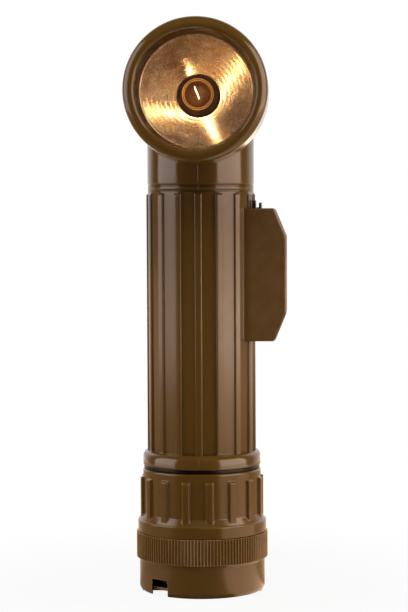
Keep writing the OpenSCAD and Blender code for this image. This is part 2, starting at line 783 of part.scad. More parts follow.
module bulb_glass() color("#e8f0f0", 0.3) head_frame() rotate_extrude() difference() {
  bulb_outline(0, bulb_u + bulb_flange_t + seam);
  bulb_outline(glass_t, bulb_u);
}
module bulb_base() color(brass) head_frame() rotate_extrude() {
  band(bulb_flange_d / 2, bulb_u, bulb_u + bulb_flange_t);
  band(bulb_base_d / 2, bulb_u - bulb_base_len, bulb_u + fit);
  band(tip_d / 2, tip_u, bulb_u - bulb_base_len + fit);
}
module filament() color("#ffcf7a") head_frame() {
  foot_u = bulb_u + bulb_flange_t + seam;
  for (x = [-post_gap / 2, post_gap / 2]) translate([x, 0, foot_u])
    cylinder(d = post_d, h = bulb_u + filament_up - foot_u);
  translate([-post_gap / 2 - post_d / 2, 0, bulb_u + filament_up]) rotate([0, 90, 0])
    cylinder(d = post_d, h = post_gap + post_d);
}
module bulb_holder() color(brown) head_frame() rotate_extrude() difference() {
  union() {
    band(throat_r - fit, collar_u - seam, holder_u);
    band(throat_r + mirror_t, collar_u - seam - holder_rim, collar_u - seam);
    band(throat_r - fit, bulb_u - bulb_base_len + holder_rim, collar_u - holder_rim);
  }
  band(bulb_base_d / 2 + fit, tip_u, holder_u + over);
}
module insulator_disc() color(black) difference() {
  translate([0, 0, insulator_z]) cylinder(r = bore_r - fit, h = insulator_t);
  translate([-contact_w / 2 - run, riser_y - strip_t / 2 - run, insulator_z - over])
    cube([contact_w + 2 * run, strip_t + 2 * run, insulator_t + 2 * over]);
}
module lamp_contact() color(brass) {
  z = contact_z + strip_t / 2;
  path = [[-nub_d / 2, z], [riser_y, z], [riser_y, head_z + tip_d]];
  sideways(contact_w) polygon(strip(path, strip_t));
  head_frame() translate([0, 0, tip_u - seam - dimple_h]) cylinder(d = tip_d, h = dimple_h);
}
module lamp_conductor() color(brass) {
  x = bore_r + strip_t / 2;
  end_x = throat_r + mirror_t + fit + strip_t / 2;
  upright(-strip_w / 2, strip_w / 2) polygon(strip([
    [x, stud_z + stud_gap - stud_d], [x, shoulder_z + shoulder_h],
    [end_x, head_z - throat_r], [end_x, head_z + stud_d]], strip_t));
}
module side_conductor() color(brass) translate([bore_r, -strip_w / 2, ledge_z + strip_t + seam])
  cube([strip_t, strip_w, stud_z + stud_d - ledge_z - strip_t - seam]);

// Switch
module plate_outline() translate([-plate_top_z, -plate_w / 2]) square([plate_top_z - plate_z, plate_w]);
module stud_holes() for (i = [0, 1]) translate([-stud_z - i * stud_gap, 0]) circle(d = stud_d + 2 * seam);
module rivet_holes() for (y = [-rivet_y, rivet_y]) for (z = rivet_z)
  translate([-z, y]) circle(d = rivet_d + 2 * seam);
module switch_gasket() color("#202022") translate([seat_x, 0, 0]) rotate([0, 90, 0])
  linear_extrude(switch_gasket_t) difference() {
    plate_outline();
    stud_holes();
    rivet_holes();
  }
module switch_plate() color(black) {
  difference() {
    translate([plate_x, 0, 0]) rotate([0, 90, 0]) linear_extrude(plate_t) difference() {
      plate_outline();
      stud_holes();
      rivet_holes();
    }
    switch_rivet_places() translate([0, 0, plate_top_x - seat_x - plate_t]) rivet_head(seam);
  }
  outward(button_z) rotate_extrude() difference() {
    band(guide_r, plate_top_x - seam, guide_top_x);
    band(button_d / 2 + button_step + fit, 0, button_x + step_t + run);
    band(button_d / 2 + fit, 0, guide_top_x + over);
  }
}
module rivet_head(gap) cylinder(d1 = rivet_d + 2 * gap, d2 = rivet_head_d + 2 * gap, h = plate_t + gap);
module switch_rivets() color(steel) switch_rivet_places() {
  translate([0, 0, -rivet_depth]) cylinder(d = rivet_d, h = rivet_depth + plate_x - seat_x + fit);
  translate([0, 0, plate_x - seat_x]) cylinder(d1 = rivet_d, d2 = rivet_head_d, h = plate_t);
}
module switch_studs() color(brass) for (i = [0, 1]) outward(stud_z + i * stud_gap)
  translate([0, 0, bore_r + strip_t + seam])
    cylinder(d = stud_d, h = plate_top_x + run - bore_r - strip_t - seam);
module switch_slide() color(black) {
  half = blade_w / 2;
  translate([blade_x, 0, 0]) rotate([90, 0, 90]) linear_extrude(blade_t) difference() {
    polygon(rounded([
      [-half, slide_z, guard_round], [half, slide_z, guard_round],
      [half, slide_top, guard_round], [-half, slide_top, guard_round]]));
    translate([-skid_y, window_z]) square([2 * skid_y, window_top - window_z]);
  }
  for (y = [-skid_y - skid_w, skid_y])
    translate([plate_top_x + run, y, slide_z + guard_round])
      cube([blade_x + seam - plate_top_x - run, skid_w, slide_len - 2 * guard_round]);
  upright(-thumb_w / 2, thumb_w / 2) thumb_outline();
}
// Thumb piece seen from the front: a saddle with three cross grooves
module thumb_outline() {
  top = blade_top_x + thumb_h;
  edge = thumb_h / 4;
  middle = slide_z + thumb_len / 2;
  groove = thumb_len / 6;
  difference() {
    polygon(rounded([
      [blade_x + seam, slide_z, 0], [top - edge, slide_z + edge / 2, edge / 2],
      [top, slide_z + 2 * edge, edge / 2], [top - edge / 2, middle, thumb_len],
      [top, thumb_top - 2 * edge, edge / 2], [top - edge, thumb_top - edge / 2, edge / 2],
      [blade_x + seam, thumb_top, 0]]));
    for (i = [-1:1]) translate([top, middle + i * groove]) circle(edge / 2 + rivet_d / 4);
  }
}
module slide_contact() color(brass) {
  pad_z = stud_z - stud_d / 2;
  foot_x = plate_top_x + run + fit;
  translate([blade_x - seam - strip_t, -strip_w / 2, pad_z]) cube([strip_t, strip_w, stud_gap + stud_d]);
  for (i = [0, 1]) translate([foot_x, 0, stud_z + i * stud_gap]) rotate([0, 90, 0])
    cylinder(d = stud_d, h = blade_x - seam - fit - foot_x);
}
module signal_button() color(black) outward(button_z) rotate_extrude() difference() {
  union() {
    band(button_d / 2 + button_step, button_x, button_x + step_t);
    soft_band(button_d / 2, button_x, button_top_x, fit, button_wall);
  }
  band(button_d / 2 - button_wall, 0, button_top_x - button_roof);
}
button_coil_r = button_d / 2 - button_wall - fit - button_wire / 2;
button_coil_h = button_top_x - button_roof - plate_top_x - 2 * seam - button_wire;
module button_spring() color(steel) outward(button_z)
  translate([0, 0, plate_top_x + seam + button_wire / 2])
    coil(button_coil_r, button_coil_r, button_coil_h, button_turns, button_wire, 12, 6);

// Belt clip
function bend_points(a0, a1) = [for (i = [0:6]) let (a = a0 + (a1 - a0) * i / 6)
  [clip_mid_y + clip_bend + clip_bend * cos(a), clip_bend_z + clip_bend * sin(a)]];
split_angle = asin(clip_split / 2 / clip_bend);
module clip_plate() color(black) difference() {
  sideways(clip_w) polygon(strip(
    concat([[clip_mid_y, clip_seat_z]], bend_points(180, 90 + split_angle)), clip_t));
  clip_rivet_places() translate([0, 0, -over]) cylinder(d = clip_rivet_d + 2 * seam, h = clip_t + 2 * over);
}
module belt_clip() color(black) sideways(clip_w) polygon(strip(concat(
  bend_points(90 - split_angle, 0),
  [[clip_arm_y - clip_t, clip_end_z + clip_tail + clip_lean], [bump_y, clip_end_z + clip_tail],
   [bump_y + clip_bend, clip_end_z]]), clip_t));
module clip_rivets() color(steel) clip_rivet_places() {
  translate([0, 0, -rivet_depth]) cylinder(d = clip_rivet_d, h = rivet_depth + clip_t + fit);
  translate([0, 0, clip_t + 2 * seam]) rotate_extrude() right_half(clip_rivet_head) intersection() {
    translate([0, clip_rivet_h - clip_rivet_head]) circle(clip_rivet_head);
    square([clip_rivet_head / 2, clip_rivet_h]);
  }
}

// Cells
module cell(z) translate([0, 0, z]) rotate_extrude() {
  soft_band(cell_d / 2, seam, cell_h - nub_h, cell_edge / 2, cell_edge);
  band(nub_d / 2, cell_h - nub_h - over, cell_h);
}
module upper_cell() color("#3c5a78") cell(cells_z + cell_h);
module lower_cell() color("#3c5a78") cell(cells_z);

// Tail cap
module tail_seal() color(black) rotate_extrude() difference() {
  soft_band(seal_r, seal_z, seal_z + seal_t, seal_t / 3, seal_t / 3);
  band(spigot_r + fit, seal_z - over, seal_z + seal_t + over);
}
module tail_outline() {
  thread(boss_r, tail_z, flare_z + over, cap_pitch);
  soft_band(flare_r, flare_z, grip_z, flare_edge, flare_edge);
  polygon([
    [0, grip_z - over], [flare_r - flare_edge, grip_z - seam],
    [tail_r, grip_z + flare_slope], [0, grip_z + flare_slope]]);
  soft_band(tail_r, grip_z, tail_top, fit, tail_edge);
}
module tail_grips() intersection() {
  grip_top = grip_z + grip_h;
  translate([0, 0, grip_z - over]) linear_extrude(grip_h + over)
    for (i = [0:grip_n - 1]) rotate(i * 360 / grip_n + grip_turn - 90)
      rib_outline(spigot_r + 2 * run, grip_r + fit, grip_w, grip_edge);
  rotate_extrude() polygon([
    [0, grip_z - over], [grip_r, grip_z - over], [grip_r, grip_top - grip_slope],
    [tail_r - fit, grip_top], [0, grip_top]]);
}
module tail_cap() color(brown) difference() {
  union() {
    rotate_extrude() tail_outline();
    tail_grips();
  }
  rotate_extrude() {
    band(well_r, well_z, tail_top);
    band(spigot_r + run, ledge_z - seam, tail_top + over);
  }
}
module tail_contact() color(brass) rotate_extrude() difference() {
  union() {
    band(well_r - run, well_z + seam, ledge_z + fit);
    band(spigot_r, ledge_z, ledge_z + strip_t);
  }
  band(well_r - run - strip_t, spring_z, ledge_z + over);
}
tail_coil_h = cells_z - spring_z - spring_wire - seam;
module tail_spring() color(steel) translate([0, 0, spring_z + spring_wire / 2 + seam / 2])
  coil(spring_foot_d / 2, spring_head_d / 2, tail_coil_h, spring_turns, spring_wire, 16, 6);

// Base cap
function knurl_points() = [for (i = [0:2 * knurl_n - 1]) let (a = 180 * i / knurl_n)
  (knurl_r - (i % 2) * knurl_depth) * [cos(a), sin(a)]];
module knurl() translate([0, 0, base_h + knurl_chamfer])
  linear_extrude(knurl_h - knurl_chamfer) difference() {
    polygon(knurl_points());
    circle(knurl_core_r - over / 2);
  }
// What the notch takes away between two levels, outside a radius
module notch_cut(r, z0, z1) difference() {
  translate([-notch_x - notch_w / 2, -2 * base_r, z0]) cube([notch_w, 2 * base_r, z1 - z0]);
  translate([0, 0, z0 - over]) cylinder(r = r, h = z1 - z0 + 2 * over);
}
module notch() {
  notch_cut(recess_r + foot_wall / 2, -over, notch_h);
  notch_cut(loop_front, -over, lip_up);
  notch_cut(loop_front, lip_up + lip_h, notch_h);
}
module base_cap() color(brown) difference() {
  union() {
    rotate_extrude() {
      band(base_r, base_edge, base_h);
      band(base_r - base_edge, 0, base_h);
      translate([base_r - base_edge, base_edge]) circle(base_edge);
      polygon([
        [0, base_h - over], [base_r, base_h], [knurl_core_r, base_h + knurl_chamfer],
        [knurl_core_r, base_top], [0, base_top]]);
    }
    knurl();
  }
  rotate_extrude() {
    band(recess_r, -over, recess_h);
    band(disc_r + run, chamber_z, base_top);
    band(boss_r + run, tail_z, base_top + over);
  }
  notch();
  loop_rivet_places() cylinder(d = pin_d + 2 * seam, h = chamber_z);
}
module filter(i) translate([0, 0, filters_z + i * filter_t]) cylinder(r = disc_r, h = filter_t);
module red_filter() color("#b01818", 0.6) filter(0);
module blue_filter() color("#1838a0", 0.6) filter(1);
module diffuser() color("#eef0f0", 0.7) filter(2);
module filter_cushion() color("#3a3a3c") translate([0, 0, cushion_z]) difference() {
  cylinder(r = disc_r, h = cushion_t);
  translate([0, 0, -over]) cylinder(r = disc_r - cushion_w, h = cushion_t + 2 * over);
}

// Hanging loop
module loop_rivet_places() loop_frame() for (x = [-pin_gap / 2, pin_gap / 2])
  translate([x, loop_back - eye_r - bracket_t - leaf_len / 2, 0]) children();
module hanging_loop() color(black) loop_frame() translate([0, 0, loop_z]) {
  half = loop_w / 2;
  bow_y = half - loop_front;
  for (x = [-half, half]) {
    translate([x, bow_y, 0]) rotate([-90, 0, 0]) cylinder(r = wire_r, h = loop_back - bow_y);
    translate([x, loop_back, 0]) sphere(wire_r);
  }
  translate([-half, loop_back, 0]) rotate([0, 90, 0]) cylinder(r = wire_r, h = loop_w);
  translate([0, bow_y, 0]) rotate([0, 0, 180]) rotate_extrude(angle = 180)
    translate([half, 0]) circle(wire_r);
}
module loop_bracket() color(steel) loop_frame() difference() {
  eye_out = eye_r + bracket_t;
  leaf_y = loop_back - eye_out - leaf_len;
  sideways(bracket_w) difference() {
    union() {
      translate([loop_back, loop_z]) circle(eye_out);
      translate([leaf_y, recess_h - seam - bracket_t])
        square([loop_back - leaf_y, bracket_t]);
      translate([loop_back - eye_out, loop_z]) square([eye_out, recess_h - seam - loop_z]);
    }
    translate([loop_back, loop_z]) circle(eye_r);
  }
  rotate([0, 0, -loop_turn]) loop_rivet_places() cylinder(d = pin_d + 2 * seam, h = chamber_z);
}
module loop_rivets() color(steel) loop_rivet_places() {
  low = recess_h - seam - bracket_t;
  translate([0, 0, low - seam]) cylinder(d = pin_d, h = chamber_z - low);
  translate([0, 0, low - seam - pin_head_h]) cylinder(d = pin_head_d, h = pin_head_h);
}

// Least gap between neighbouring curls of each spring
tail_gap = coil_gap(spring_foot_d / 2, spring_head_d / 2, tail_coil_h, spring_turns, spring_wire, 72);
button_gap = coil_gap(button_coil_r, button_coil_r, button_coil_h, button_turns, button_wire, 48);
echo(tail_gap = tail_gap, button_gap = button_gap);

body_shell();
lens_ring();
lens();
lens_gasket();
reflector();
bulb_glass();
bulb_base();
filament();
bulb_holder();
insulator_disc();
lamp_contact();
lamp_conductor();
side_conductor();
switch_gasket();
switch_plate();
switch_studs();
switch_rivets();
switch_slide();
slide_contact();
signal_button();
button_spring();
clip_plate();
belt_clip();
clip_rivets();
upper_cell();
lower_cell();
tail_seal();
tail_cap();
tail_contact();
tail_spring();
base_cap();
red_filter();
blue_filter();
diffuser();
filter_cushion();
hanging_loop();
loop_bracket();
loop_rivets();
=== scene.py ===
import json
import math

import bmesh
import bpy
from mathutils import Matrix, Vector


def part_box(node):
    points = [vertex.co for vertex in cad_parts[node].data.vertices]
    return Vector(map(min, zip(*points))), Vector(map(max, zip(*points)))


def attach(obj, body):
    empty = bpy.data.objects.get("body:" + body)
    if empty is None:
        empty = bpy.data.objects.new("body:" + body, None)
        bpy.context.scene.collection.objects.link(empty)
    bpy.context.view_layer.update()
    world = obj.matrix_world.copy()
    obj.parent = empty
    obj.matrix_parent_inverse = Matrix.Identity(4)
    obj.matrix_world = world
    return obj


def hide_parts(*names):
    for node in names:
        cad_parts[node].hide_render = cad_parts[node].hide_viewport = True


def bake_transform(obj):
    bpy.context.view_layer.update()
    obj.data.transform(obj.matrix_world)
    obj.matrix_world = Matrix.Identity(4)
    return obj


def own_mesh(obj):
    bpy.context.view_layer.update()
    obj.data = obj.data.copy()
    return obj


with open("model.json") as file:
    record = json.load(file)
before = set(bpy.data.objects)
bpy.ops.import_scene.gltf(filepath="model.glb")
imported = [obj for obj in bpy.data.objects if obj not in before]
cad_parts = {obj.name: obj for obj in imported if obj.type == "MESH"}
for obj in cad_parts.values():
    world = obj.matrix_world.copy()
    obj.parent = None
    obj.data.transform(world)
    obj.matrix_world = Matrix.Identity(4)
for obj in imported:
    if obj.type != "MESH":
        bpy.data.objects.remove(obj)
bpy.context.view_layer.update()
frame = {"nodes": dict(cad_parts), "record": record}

nodes = frame["nodes"]
joints = {joint["name"]: joint for joint in frame["record"]["behaviour"]["joints"]}
lampJoint = joints["lens_ring_turn"]  # its axis is the lamp's
scene = bpy.context.scene
scene.view_settings.view_transform = "Standard"
mm = 0.001
print("frame loaded,", len(nodes), "nodes")


def linear(hexColour, alpha=1.0):
    parts = [int(hexColour[i:i + 2], 16) / 255 for i in (0, 2, 4)]
    return tuple(p / 12.92 if p <= 0.04045 else ((p + 0.055) / 1.055) ** 2.4 for p in parts) + (alpha,)


def addNode(tree, kind, values=None, links=None, **settings):  # sockets by name, or by number where names repeat
    node = tree.nodes.new(kind)
    for name, value in settings.items():
        setattr(node, name, value)
    for socket, value in (values or {}).items():
        node.inputs[socket].default_value = value
    for socket, source in (links or {}).items():
        tree.links.new(source, node.inputs[socket])
    return node


def perMetre(sizeMm):  # texture scale for a pattern of this size
    return 1.0 / (sizeMm * mm)


def startMaterial(name):
    material = bpy.data.materials.new(name)
    material.use_nodes = True
    tree = material.node_tree
    tree.nodes.clear()
    place = addNode(tree, "ShaderNodeTexCoord").outputs["Object"]
    return material, tree, place


def endMaterial(tree, shader):
    addNode(tree, "ShaderNodeOutputMaterial", links={"Surface": shader.outputs[0]})


def bearingOf(tree, spot):  # turn about the upright axis, from the front to the right
    front = addNode(tree, "ShaderNodeMath", {1: -1.0}, {0: spot.outputs["Y"]}, operation="MULTIPLY")
    turn = addNode(tree, "ShaderNodeMath", operation="ARCTAN2", links={0: spot.outputs["X"], 1: front.outputs[0]})
    return turn.outputs[0]


def fromTubeAxis(tree, place):  # distance from the upright axis
    level = addNode(tree, "ShaderNodeVectorMath", {1: (1, 1, 0)}, {0: place}, operation="MULTIPLY")
    return addNode(tree, "ShaderNodeVectorMath", operation="LENGTH", links={0: level.outputs[0]}).outputs["Value"]


def fromLampAxis(tree, place):  # distance from the line through the lamp
    apart = addNode(tree, "ShaderNodeVectorMath", {1: lampJoint["pos_m"]}, {0: place}, operation="SUBTRACT")
    aside = addNode(tree, "ShaderNodeVectorMath", {1: lampJoint["axis"]}, {0: apart.outputs[0]},
                    operation="CROSS_PRODUCT")
    return addNode(tree, "ShaderNodeVectorMath", operation="LENGTH", links={0: aside.outputs[0]}).outputs["Value"]


def spanOf(low, high):  # a range in mm as a comparing node takes it: middle and half width
    return {1: (low + high) / 2 * mm, 2: (high - low) / 2 * mm}


# Camera, matched to the photograph's frame
shot = {
    "focalPx": 2000.0,
    "frameHeightPx": 612,
    "sensor": 36.0,
    "clipStart": 0.02,
    "distance": 0.740,
    "height": 0.1473,
    "azimuth": 2.95,  # degrees towards the switch side
    "pitch": 3.25,
    "yaw": -0.08,
    "roll": -0.26,
}


def makeCamera():
    data = bpy.data.cameras.new("camera")
    data.sensor_width = shot["sensor"]
    data.lens = shot["focalPx"] * shot["sensor"] / shot["frameHeightPx"]
    data.clip_start = shot["clipStart"]
    camera = bpy.data.objects.new("camera", data)
    scene.collection.objects.link(camera)
    turn = math.radians(shot["azimuth"])
    camera.location = (shot["distance"] * math.sin(turn), -shot["distance"] * math.cos(turn), shot["height"])
    aim = Matrix.Rotation(turn + math.radians(shot["yaw"]), 4, "Z")
    aim @= Matrix.Rotation(math.radians(90 - shot["pitch"]), 4, "X")
    aim @= Matrix.Rotation(math.radians(shot["roll"]), 4, "Z")
    camera.rotation_euler = aim.to_euler()
    scene.camera = camera


makeCamera()
print("camera set")


# Studio: white floor and background, tall softboxes to the sides, a dim room behind the camera
studio = {
    "floorRings": [0.06, 0.15, 0.4, 1.0, 3.0],
    "floorSides": 96,
    "paper": "d2d2d0",
    "fibreMm": 0.6,  # drawn coarser than real fibres, so that they show
    "toothStrength": 0.05,
    "toothMm": 0.02,
    "footRadius": 0.0225,  # under the foot the floor is plain paper, so the notch stays dark
    "footFront": -0.006,
    "shadowNear": 0.034,
    "shadowFar": 0.16,
    "shadowShare": 0.08,
    "ambient": 0.09,
    "roomDim": 0.06,
    "roomTurn": (0.42, 0.78),  # how far round to the back the room turns white
    "floorNear": 0.25,  # the floor as reflections see it: lit under the strips, dim in front
    "floorFar": 0.95,
    "floorBright": (1.0, 2.8),
    "floorBands": [(-180, 0.9), (-112, 0.22), (-104, 0.26), (-54, 0.26), (-48, 0.05), (30, 0.05), (36, 1.05),
                   (97, 1.05), (105, 0.25), (180, 0.9)],  # degrees from the camera, level
    "floorClose": (0.05, 0.30, 1.9),  # brighter again close to the foot
    "floorTint": "ffdabb",
}
softboxes = [  # azimuth in degrees from the camera's side, width as a spread in degrees, lengths in metres
    {"name": "left strip", "azimuth": -79, "spread": 50, "distance": 0.9, "height": 0.90, "level": 0.60,
     "radiance": 2.8, "colour": "fff1ee", "mirrored": True},
    {"name": "left strip, low end", "azimuth": -79, "spread": 50, "distance": 0.9, "height": 0.15, "level": 0.075,
     "radiance": 1.75, "colour": "fff1ee", "mirrored": True},
    {"name": "right strip", "azimuth": 66, "spread": 60, "distance": 0.9, "height": 0.90, "level": 0.60,
     "radiance": 4.2, "colour": "ffe7d6", "mirrored": True},
    {"name": "right strip, low end", "azimuth": 66, "spread": 60, "distance": 0.9, "height": 0.15, "level": 0.075,
     "radiance": 2.5, "colour": "ffe7d6", "mirrored": True},
    {"name": "left fill", "azimuth": -97, "spread": 40, "distance": 1.0, "height": 0.80, "level": 0.35,
     "radiance": 3.5, "colour": "fff8f0", "mirrored": False},
    {"name": "right fill", "azimuth": 92, "spread": 40, "distance": 1.0, "height": 0.80, "level": 0.35,
     "radiance": 5.3, "colour": "fff4e8", "mirrored": False},
]
skylight = {"spot": (0.0, -0.42, 0.80), "target": (0.0, 0.0, 0.1), "size": 0.45, "radiance": 5.1, "colour": "ffffff"}


def seenRays(tree):  # rays whose end the eye sees straight or through glass
    path = addNode(tree, "ShaderNodeLightPath")
    return addNode(tree, "ShaderNodeMath", operation="MAXIMUM",
                   links={0: path.outputs["Is Camera Ray"], 1: path.outputs["Is Transmission Ray"]}), path


def makeWorld():
    world = bpy.data.worlds.new("studio")
    scene.world = world
    world.use_nodes = True
    tree = world.node_tree
    tree.nodes.clear()
    seen, path = seenRays(tree)
    way = addNode(tree, "ShaderNodeTexCoord").outputs["Generated"]
    parts = addNode(tree, "ShaderNodeSeparateXYZ", links={0: way})
    room = addNode(tree, "ShaderNodeMapRange",  # dim towards the camera's side of the room, white behind
                   {"From Min": studio["roomTurn"][0], "From Max": studio["roomTurn"][1],
                    "To Min": studio["roomDim"], "To Max": 1.0},
                   {"Value": parts.outputs["Y"]}, interpolation_type="SMOOTHSTEP")
    level = addNode(tree, "ShaderNodeMix", {3: 1.0}, {0: path.outputs["Is Camera Ray"], 2: room.outputs[0]},
                    data_type="FLOAT")
    sharp = addNode(tree, "ShaderNodeMath", operation="MAXIMUM",
                    links={0: seen.outputs[0], 1: path.outputs["Is Glossy Ray"]})
    strength = addNode(tree, "ShaderNodeMix", {2: studio["ambient"]}, {0: sharp.outputs[0], 3: level.outputs[0]},
                       data_type="FLOAT")
    back = addNode(tree, "ShaderNodeBackground", {"Color": (1, 1, 1, 1)}, {"Strength": strength.outputs[0]})
    addNode(tree, "ShaderNodeOutputWorld", links={"Surface": back.outputs[0]})


def whiteFloorPaint():  # matt white paper sweep: even white with a soft shadow near the object
    material, tree, place = startMaterial("matt white paper sweep")
    seen, path = seenRays(tree)
    away = addNode(tree, "ShaderNodeVectorMath", operation="LENGTH", links={0: place})
    fade = addNode(tree, "ShaderNodeMapRange",
                   {"From Min": studio["shadowNear"], "From Max": studio["shadowFar"],
                    "To Min": 1.0 - studio["shadowShare"], "To Max": 1.0},
                   {"Value": away.outputs["Value"]}, interpolation_type="SMOOTHSTEP")
    spot = addNode(tree, "ShaderNodeSeparateXYZ", links={0: place})
    outside = addNode(tree, "ShaderNodeMath", {1: studio["footRadius"]}, {0: away.outputs["Value"]},
                      operation="GREATER_THAN")
    ahead = addNode(tree, "ShaderNodeMath", {1: studio["footFront"]}, {0: spot.outputs["Y"]}, operation="LESS_THAN")
    clear = addNode(tree, "ShaderNodeMath", operation="MAXIMUM", links={0: outside.outputs[0], 1: ahead.outputs[0]})
    bare = addNode(tree, "ShaderNodeMath", operation="MULTIPLY", links={0: fade.outputs[0], 1: clear.outputs[0]})
    share = addNode(tree, "ShaderNodeMath", operation="MULTIPLY", links={0: bare.outputs[0], 1: seen.outputs[0]})
    fibre = addNode(tree, "ShaderNodeTexNoise", {"Scale": perMetre(studio["fibreMm"]), "Detail": 2.0},
                    {"Vector": place})
    tooth = addNode(tree, "ShaderNodeBump",
                    {"Strength": studio["toothStrength"], "Distance": studio["toothMm"] * mm},
                    {"Height": fibre.outputs[0]})
    paper = addNode(tree, "ShaderNodeBsdfDiffuse", {"Color": linear(studio["paper"])}, {"Normal": tooth.outputs[0]})
    glow = addNode(tree, "ShaderNodeEmission", {"Color": (1, 1, 1, 1), "Strength": 1.0})
    lit = addNode(tree, "ShaderNodeMixShader", links={0: share.outputs[0], 1: paper.outputs[0], 2: glow.outputs[0]})
    turn = addNode(tree, "ShaderNodeMapRange", {"From Min": -math.pi, "From Max": math.pi},
                   {"Value": bearingOf(tree, spot)})
    bands = addNode(tree, "ShaderNodeValToRGB", links={0: turn.outputs[0]})
    stops = bands.color_ramp.elements
    while len(stops) < len(studio["floorBands"]):
        stops.new(0.5)
    for stop, (angle, level) in zip(stops, studio["floorBands"]):
        stop.position = min(max((angle + shot["azimuth"] + 180) / 360, 0.0), 1.0)
        stop.color = tuple(level * part for part in linear(studio["floorTint"])[:3]) + (1,)
    bright = addNode(tree, "ShaderNodeMapRange",
                     {"From Min": studio["floorNear"], "From Max": studio["floorFar"],
                      "To Min": studio["floorBright"][0], "To Max": studio["floorBright"][1]},
                     {"Value": away.outputs["Value"]}, interpolation_type="SMOOTHSTEP")
    inner, outer, boost = studio["floorClose"]
    close = addNode(tree, "ShaderNodeMapRange", {"From Min": inner, "From Max": outer, "To Min": boost, "To Max": 1.0},
                    {"Value": away.outputs["Value"]})
    beside = addNode(tree, "ShaderNodeMath", operation="MULTIPLY", links={0: close.outputs[0], 1: outside.outputs[0]})
    level = addNode(tree, "ShaderNodeMath", operation="MULTIPLY", links={0: bright.outputs[0], 1: beside.outputs[0]})
    # painted light: reflections see the floor as a glowing pool, bright in bands under the strips
    pool = addNode(tree, "ShaderNodeEmission", links={"Color": bands.outputs[0], "Strength": level.outputs[0]})
    mix = addNode(tree, "ShaderNodeMixShader",
                  links={0: path.outputs["Is Glossy Ray"], 1: lit.outputs[0], 2: pool.outputs[0]})
    endMaterial(tree, mix)
    return material


def makeFloor():
    mesh = bpy.data.meshes.new("floor")
    build = bmesh.new()
    sides = studio["floorSides"]
    middle = build.verts.new((0, 0, 0))
    last = None
    for radius in studio["floorRings"]:
        ring = [build.verts.new((radius * math.cos(2 * math.pi * i / sides),
                                 radius * math.sin(2 * math.pi * i / sides), 0)) for i in range(sides)]
        for i in range(sides):
            j = (i + 1) % sides
            build.faces.new((middle, ring[i], ring[j]) if last is None else (last[i], ring[i], ring[j], last[j]))
        last = ring
    build.to_mesh(mesh)
    build.free()
    floor = bpy.data.objects.new("floor", mesh)
    scene.collection.objects.link(floor)
    mesh.materials.append(whiteFloorPaint())


def makeLight(name, spot, target, width, height, radiance, colour):
    data = bpy.data.lights.new(name, "AREA")
    data.shape = "RECTANGLE"
    data.size = width
    data.size_y = height
    data.energy = radiance * math.pi * width * height
    data.color = linear(colour)[:3]
    lamp = bpy.data.objects.new(name, data)
    lamp.location = spot
    lamp.rotation_euler = (Vector(target) - Vector(spot)).to_track_quat("-Z", "Y").to_euler()
    lamp.visible_camera = False
    scene.collection.objects.link(lamp)
    return lamp


def makeStudio():
    makeWorld()
    makeFloor()
    for box in softboxes:
        turn = math.radians(shot["azimuth"] + box["azimuth"])
        spot = (box["distance"] * math.sin(turn), -box["distance"] * math.cos(turn), box["level"])
        width = 2 * box["distance"] * math.tan(math.radians(box["spread"] / 2))
        lamp = makeLight(box["name"], spot, (0, 0, box["level"]), width, box["height"], box["radiance"],
                         box["colour"])
        lamp.visible_glossy = box["mirrored"]  # strips make the crisp bands, fills shade the colour
        lamp.visible_diffuse = not box["mirrored"]
    lamp = makeLight("skylight", skylight["spot"], skylight["target"], skylight["size"], skylight["size"],
                     skylight["radiance"], skylight["colour"])
    lamp.visible_glossy = False


makeStudio()
print("studio lit")


# Materials
absBrown = {
    "colour": "6b4916", "deep": "604112", "ior": 1.53, "flowMm": 16.0, "flowStretch": (1.0, 1.0, 0.35),
    "dustMm": 4.0, "edgePatches": (0.35, 0.85), "peelMm": 1.6, "peelDepthMm": 0.03, "peelStrength": 0.06,
    "edgeTurn": (0.99, 0.75), "cornerOpen": (0.4, 0.95), "rubbing": (0.3, 0.75), "sheen": (-0.02, 0.06),
    "boreBlendMm": 0.2,
}
plainBrown = {"name": "moulded ABS brown", "edgeMm": 0.9, "pale": "83612b", "edgeWearAndLight": 0.55, "roughness": 0.12,
              "cornerShadeMm": 1.2, "cornerShade": 0.38}
brownFinishes = {  # one plastic; each moulding with its own pale edges, partly rubbed wear and partly painted highlight, and its own painted shade in corners
    "brown": plainBrown,
    "ringBrown": {**plainBrown, "name": "moulded ABS brown, ring", "boreMm": 21.3, "boreShade": 0.3},
    "panelBrown": {**plainBrown, "name": "moulded ABS brown, panelled", "panelled": True},
    "ribbedBrown": {**plainBrown, "name": "moulded ABS brown, ribbed", "edgeMm": 0.6, "pale": "b8863e", "edgeWearAndLight": 1.4,
                    "roughness": 0.14},
    "knurledBrown": {"name": "moulded ABS brown, knurled", "edgeMm": 0.25, "pale": "f0b468", "edgeWearAndLight": 3.0,
                     "roughness": 0.2, "cornerShadeMm": 0.6, "cornerShade": 0.05},
}
bodyShell = {  # where the body shell's finish differs, lengths in mm
    "panels": 16, "panelRadius": 19.3, "panelSlack": 0.12, "panelLevel": (52.1, 147.4), "flat": 0.85,
    "flangeLevel": (46.9, 52.1), "lean": 0.5,
    "guardFrom": 13.0, "guardReach": (20.1, 22.0), "guardLevel": (88.0, 146.0), "paler": "7e5c3c",
}


